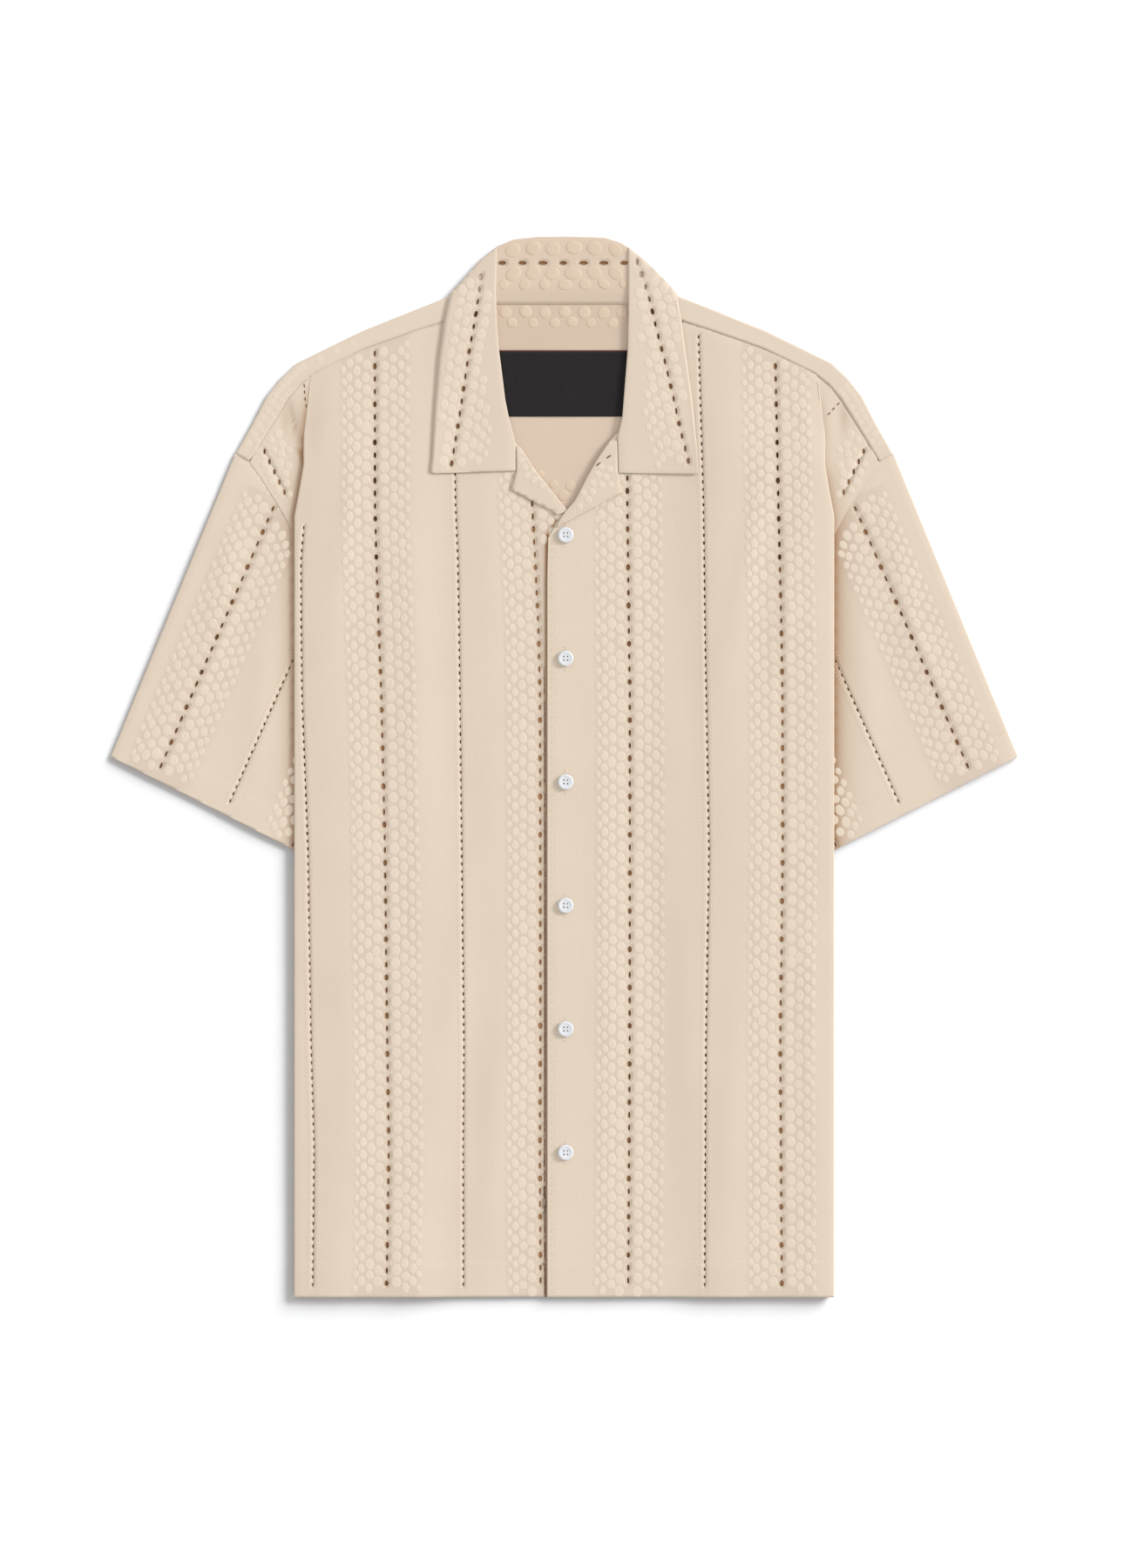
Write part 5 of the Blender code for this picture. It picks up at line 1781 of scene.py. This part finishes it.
LEAVES = (
    Leaf(
        "collar_right", 1.0, LIE.right_front, 1.5, (209.0, 380.0),
        edge=table("y x", (211.0, -96.8), (224.3, -95.4), (258.9, -93.6), (293.2, -91.0), (320.7, -87.3),
                   (341.0, -83.0), (380.0, -83.0)),
        roll=table("y x", (211.0, -35.0), (233.0, -35.0), (240.0, -36.6), (252.6, -40.0), (264.6, -42.5),
                   (300.0, -46.9), (319.4, -48.5), (345.0, -49.4), (380.0, -48.5)),
        bottom=table("x y", (-96.8, 213.2), (-94.5, 211.6), (-35.0, 213.8)),
        top=table("x y", (-83.0, 341.0), (-72.8, 352.2), (-60.8, 365.6), (-55.0, 370.6), (-48.5, 375.4)),
        seam=table("x y", (-36.4, 215.4), (-94.6, 213.6), (-93.6, 224.0), (-91.8, 259.0), (-89.2, 293.0),
                   (-85.4, 321.0), (-81.6, 339.0)),
        eyelets=table("y x", (216.1, -81.8), (233.7, -78.8), (260.8, -74.4), (298.0, -69.0), (325.0, -64.0),
                      (343.0, -61.4), (361.6, -59.2)),
    ),
    Leaf(
        "collar_left", -1.0, LIE.left_front, 1.5, (209.0, 380.0),
        edge=table("y x", (211.0, 97.0), (232.7, 95.8), (269.0, 92.3), (299.9, 87.9), (324.5, 84.7),
                   (341.5, 81.6), (380.0, 81.6)),
        roll=table("y x", (211.0, 39.2), (238.1, 38.4), (252.6, 41.9), (301.0, 45.7), (327.6, 46.3), (380.0, 46.3)),
        bottom=table("x y", (39.2, 212.2), (95.0, 210.9), (97.0, 212.4)),
        top=table("x y", (46.3, 375.0), (53.0, 370.0), (60.2, 364.1), (74.0, 350.3), (81.6, 341.6), (84.0, 338.0)),
        seam=table("x y", (40.8, 213.8), (95.0, 212.7), (93.9, 232.5), (90.4, 268.8), (86.0, 299.7),
                   (82.9, 324.3), (80.2, 338.0)),
        eyelets=table("y x", (218.0, 90.4), (243.5, 83.8), (262.7, 79.7), (290.0, 73.4), (317.7, 66.2),
                      (336.4, 62.0), (355.3, 56.4), (366.0, 52.0)),
    ),
    Leaf(
        "lapel_right", 1.0, LIE.right_front, 1.4, (179.0, 232.0),
        edge=table("y x", (179.0, -38.8), (200.3, -38.8), (213.4, -34.6), (233.0, -34.6)),
        roll=table("y x", (179.0, 2.0), (185.9, 1.9), (197.4, -7.4), (214.2, -20.7), (231.0, -31.6), (233.0, -32.6)),
        bottom=table("x y", (-38.8, 200.3), (-23.3, 192.2), (-10.0, 185.4), (-3.0, 180.6), (2.0, 185.0)),
        top=table("x y", (-40.0, 231.5), (2.0, 231.5)),
        seam=table("x y", (-33.4, 214.0), (-36.9, 200.9), (-22.6, 193.8), (-9.4, 187.0), (-3.0, 182.6)),
        dots=LAPEL_RIGHT_DOTS,
    ),
    Leaf(
        "lapel_left", -1.0, LIE.left_front, 1.4, (172.0, 236.0),
        edge=table("y x", (172.0, 41.7), (198.5, 41.7), (212.5, 38.8), (237.0, 38.0)),
        roll=table("y x", (172.0, -5.2), (175.8, -5.0), (184.2, 0.6), (192.0, 7.6), (200.6, 12.0), (210.2, 17.0),
                   (223.0, 24.3), (236.6, 33.8)),
        bottom=table("x y", (-5.2, 172.8), (4.1, 178.0), (19.2, 185.9), (30.5, 192.0), (41.7, 198.5)),
        top=table("x y", (-6.0, 235.5), (42.0, 235.5)),
        seam=table("x y", (37.6, 212.5), (39.8, 199.4), (29.8, 193.8), (18.6, 187.7), (4.0, 180.0), (-3.6, 175.6)),
        dots=LAPEL_LEFT_DOTS, slits=LAPEL_LEFT_SLITS,
    ),
)


@dataclass
class CollarBack:
    """The collar behind the neck: its inner side, folded over at the top."""

    radius: float = 1.15
    low: float = 334.2
    eyelet_v: float = 364.0
    eyelet_pitch: float = 14.7
    eyelets: int = 7
    first: float = -45.0

    def width(self, v: Array) -> Array:
        """How far up the fold shows."""
        return np.interp(v, COLLAR_TOP["x"], COLLAR_TOP["y"])

    def place(self, u: Array, v: Array) -> Array:
        """Flat, then round the fold and down behind.

        Args:
            u, v: Up the collar, and across the shirt.
        Returns:
            The points.
        """
        reach, drop = rolled(u, self.width(v), self.radius)
        front = u < self.width(v) - self.radius
        slope = 0.8 * (1.0 - smooth(u, 335.0, 346.0)) * front
        return np.stack([v, reach, LIE.level(2) - drop - slope], axis=-1)

    def tone(self, x: Array, y: Array) -> Array:
        """Darker in the plain band below the dots."""
        return 0.1 + 0.5 * (1.0 - smooth(y, 339.0, 350.0))

    def make(self, palette: Palette) -> None:
        """Builds the folded strip with its level row of eyelets and large dots.

        Args:
            palette: The finishes.
        """
        rows = np.arange(-76.0, 75.5, self.eyelet_pitch / 8.0)
        top = self.width(rows)
        full = np.ones(len(rows))
        arc = tuple(self.radius * (turn - 1.0) for turn in (0.0, 0.5, 1.0, 1.5, 2.0, 2.6, 3.2))
        guides = [(full * self.low, (0.0,)), (np.minimum(full * self.eyelet_v, top - 5.0), AROUND_EYELET),
                  (top, arc), (2.0 * top - 336.0, (0.0,))]
        columns, own = columns_between(guides, 3.0)
        cloth = Cloth(rows, columns)
        row = int(np.argmin(np.abs(rows - self.first))) - 2 + 8 * np.arange(self.eyelets)
        full = np.ones(self.eyelets)
        long = np.random.default_rng(2).uniform(2.7, 3.5, self.eyelets)
        holes = cloth.open_holes(row, np.full(self.eyelets, own[1]), 4, full * 1.5, full * long)
        # Its folded rear takes the painted shade between the layers, seen through the eyelets.
        cover = cloth.lay("collar_back", self.place, palette.inside, thickness=0.45, tone=self.tone,
                          under=palette.shaded)
        dots = COLLAR_DOTS
        spots = Spots(dots["y"], dots["x"], dots["half_y"], dots["half_x"], 0.02 * dots["x"])
        line = along([(YOKE_STITCH_Y, -60.0), (YOKE_STITCH_Y, 60.0)], 2.3, (0.8, 0.28))
        parts = [scatter("collar_back_dots", DOME, spots, 0.3, self.place, palette.dots_inside, 8),
                 scatter("collar_back_rims", RIM, rims(holes), 0.3, self.place, palette.rim, 5),
                 scatter("collar_back_stitches", STITCH, line, 0.24, self.place, palette.stitch, 7)]
        publish(cover, "cotton", "collar_back")
        declare(cover, ["yoke"])


@dataclass
class Label:
    """The woven label inside the neck, bare of any words."""

    size: tuple[float, float] = (93.0, 48.0)
    centre: tuple[float, float] = (-0.8, 277.0)
    rise: float = 1.6

    def height(self, x: Array, y: Array) -> Array:
        """Its top, with a faint wave."""
        return self.rise + 0.12 * np.sin(x / 14.0 + y / 30.0)

    def edge(self, x: Array, y: Array) -> Array:
        """1 on the thin edge along its top, and 0 elsewhere."""
        upper = self.centre[1] + self.size[1] / 2.0
        return smooth(y, upper - 1.1, upper - 0.7)

    def make(self, palette: Palette) -> None:
        """A flat rectangle with a thin edge of another colour along its top.

        Args:
            palette: The finishes.
        """
        rows = np.linspace(-0.5, 0.5, 49) * self.size[1] + self.centre[1]
        columns = np.linspace(-0.5, 0.5, 40) * self.size[0] + self.centre[0]
        cloth = Cloth(rows, columns)
        cover = cloth.lay("label", on_top(self.height), palette.label, thickness=0.35, tone=self.edge)
        publish(cover, "label_satin", "label")
        declare(cover, ["yoke"])


@dataclass
class Buttons:
    """The buttons down the front, their threads and buttonholes."""

    x: float = 1.1
    first: float = 167.3
    pitch: float = 89.2
    count: int = 6
    thick: float = 2.4
    hole: float = 0.56
    spacing: float = 1.32
    slit: float = 8.2
    seat: float = 0.3
    sides: int = 48
    hole_sides: int = 16

    def disc(self) -> bpy.types.Mesh:
        """A turned button: a rounded rim, a shallow dish and four holes cut through it.

        Returns:
            Its mesh, at the origin.
        """
        t = self.thick
        ring = np.column_stack([BUTTON_PROFILE["r"], BUTTON_PROFILE["share"] * t])
        turn = np.arange(self.sides) * 2.0 * np.pi / self.sides
        points = np.stack([ring[:, :1] * np.cos(turn), ring[:, :1] * np.sin(turn),
                           np.broadcast_to(ring[:, 1:], (len(ring), self.sides))], -1).reshape(-1, 3)
        at, onward = np.arange(self.sides), np.roll(np.arange(self.sides), -1)
        starts = np.arange(len(ring) - 1)[:, None, None] * self.sides
        quads = starts + np.stack([onward, at, self.sides + at, self.sides + onward], 1)
        quads = quads.reshape(-1, 4)
        caps = np.stack([at, (len(ring) - 1) * self.sides + at[::-1]])
        made = make_object("button_form", points, [quads, caps], None)
        around = turn[::self.sides // self.hole_sides]
        cutters = []
        for side_x in (-1.0, 1.0):
            for side_y in (-1.0, 1.0):
                circle = self.hole * np.stack([np.cos(around), np.sin(around)], -1)
                circle = circle + (side_x * self.spacing, side_y * self.spacing)
                low = np.column_stack([circle, np.full(self.hole_sides, -1.0)])
                cutters.append(np.concatenate([low, low + (0.0, 0.0, 2.0 + t)]))
        count = self.hole_sides
        at, onward = np.arange(count), np.roll(np.arange(count), -1)
        walls = np.stack([at, onward, onward + count, at + count], 1)
        ends = np.stack([at[::-1], at + count])
        step = 2 * count * np.arange(len(cutters))[:, None, None]
        faces = [(step + walls).reshape(-1, 4), (step + ends).reshape(-1, count)]
        cutter = make_object("button_holes", np.concatenate(cutters), faces, None)
        cut = made.modifiers.new("holes", "BOOLEAN")
        cut.operation = "DIFFERENCE"
        cut.object = cutter
        graph = bpy.context.evaluated_depsgraph_get()
        mesh = bpy.data.meshes.new_from_object(made.evaluated_get(graph))
        for helper in (made, cutter):
            bpy.data.objects.remove(helper, do_unlink=True)
        return mesh

    def make(self, palette: Palette) -> None:
        """Places the six buttons, each with its threads, and works the buttonholes.

        Args:
            palette: The finishes.
        """
        form = self.disc()
        count = len(form.vertices)
        points = np.empty(count * 3, np.float32)
        form.vertices.foreach_get("co", points)
        points = points.reshape(-1, 3)
        slits, threads = [], []
        for index in range(self.count):
            y = self.first - index * self.pitch
            seat = float(LIE.left_front(np.array(self.x), np.array(y))) + self.seat
            mesh = form.copy()
            moved = points + np.array([self.x, y, seat]) * MM
            mesh.vertices.foreach_set("co", moved.astype(np.float32).ravel())
            mesh.materials.clear()
            mesh.materials.append(palette.pearl)
            name = f"button_{index + 1}"
            made = bpy.data.objects.new(f"pearl_button_{index + 1}", mesh)
            mesh.polygons.foreach_set("use_smooth", np.ones(len(mesh.polygons), bool))
            mesh.set_sharp_from_angle(angle=0.6)
            bpy.context.scene.collection.objects.link(made)
            publish(made, "pearl", name)
            for side in (-1.0, 1.0):
                threads.append((self.x + side * self.spacing, y, 0.2, self.spacing - 0.1, 0.0))
                slits.append((self.x + side * 0.75, y, 0.5, self.slit, 0.0))
            for end in (-1.0, 1.0):
                slits.append((self.x, y + end * self.slit, 1.3, 0.6, 0.0))
        spots = Spots(*np.array(threads).T)
        lift = self.seat + self.thick * 0.85
        scatter("button_threads", STITCH, spots, 0.16, on_top(LIE.left_front, lift), palette.pearl_thread, 13)
        spots = Spots(*np.array(slits).T)
        scatter("buttonholes", STITCH, spots, 0.3, on_top(LIE.left_front), palette.stitch, 14)


@dataclass
class Studio:
    """The floor, the light and the camera straight above."""

    centre: tuple[float, float] = (-1.6, -12.6)
    field: float = 1134.0
    lens: float = 100.0
    sensor: float = 36.0
    floor_half: float = 3000.0
    floor_level: float = -0.05
    sky: tuple[float, float, float, float] = (1.0, 0.985, 0.965, 1.0)
    sky_strength: float = 0.74

    def make(self) -> None:
        """Builds them: a soft sun for the shirt, and a low one that falls on the floor alone."""
        corners = np.array([(-1.0, -1.0), (1.0, -1.0), (1.0, 1.0), (-1.0, 1.0)]) * self.floor_half
        points = np.column_stack([corners, np.full(4, self.floor_level)])
        floor = make_object("floor", points, [np.array([[0, 1, 2, 3]])], FloorFinish().build())
        world = bpy.data.worlds.new("studio")
        world.use_nodes = True
        background = world.node_tree.nodes["Background"]
        background.inputs["Color"].default_value = self.sky
        background.inputs["Strength"].default_value = self.sky_strength
        bpy.context.scene.world = world
        self.add_sun("key", strength=2.1, azimuth=24.0, elevation=26.0, soft=16.0)
        low = self.add_sun("floor_light", strength=9.0, azimuth=43.0, elevation=14.2, soft=38.0)
        only = bpy.data.collections.new("floor_only")
        only.objects.link(floor)
        low.light_linking.receiver_collection = only
        camera = bpy.data.objects.new("camera", bpy.data.cameras.new("camera"))
        camera.data.lens = self.lens
        camera.data.sensor_width = self.sensor
        camera.data.clip_end = 50.0
        camera.location = (self.centre[0] * MM, self.centre[1] * MM, self.lens / self.sensor * self.field * MM)
        bpy.context.scene.collection.objects.link(camera)
        bpy.context.scene.camera = camera
        bpy.context.scene.view_settings.view_transform = "Standard"

    def add_sun(self, name: str, strength: float, azimuth: float, elevation: float,
                soft: float) -> bpy.types.Object:
        """A sun lamp.

        Args:
            name: Its name.
            strength: Its strength.
            azimuth: Degrees from +X towards +Y that it stands at.
            elevation: Degrees above the floor.
            soft: Its width in degrees.
        Returns:
            The lamp's object.
        """
        lamp = bpy.data.lights.new(name, "SUN")
        lamp.energy = strength
        lamp.angle = np.radians(soft)
        made = bpy.data.objects.new(name, lamp)
        made.rotation_euler = (0.0, np.radians(90.0 - elevation), np.radians(azimuth))
        bpy.context.scene.collection.objects.link(made)
        return made


def main() -> None:
    """Builds the shirt piece by piece, then the studio."""
    logging.basicConfig(level=logging.INFO, format="%(name)s: %(message)s")
    palette = Palette()
    body = Body()
    body.make_back(palette)
    body.make_yoke(palette)
    for side_name, side in SIDES:
        SideFold(side_name, side).make(palette)
        ShoulderBand(side_name, side).make(palette)
    for side_name, side in SIDES:
        FrontSide(side_name, side).make(palette)
        Sleeve(side_name, side).make(palette)
    FRONT_RIGHT.make(palette)
    FRONT_LEFT.make(palette)
    CollarBack().make(palette)
    for leaf in LEAVES:
        leaf.make(palette)
    Label().make(palette)
    Buttons().make(palette)
    Studio().make()


if __name__ == "__main__":
    main()
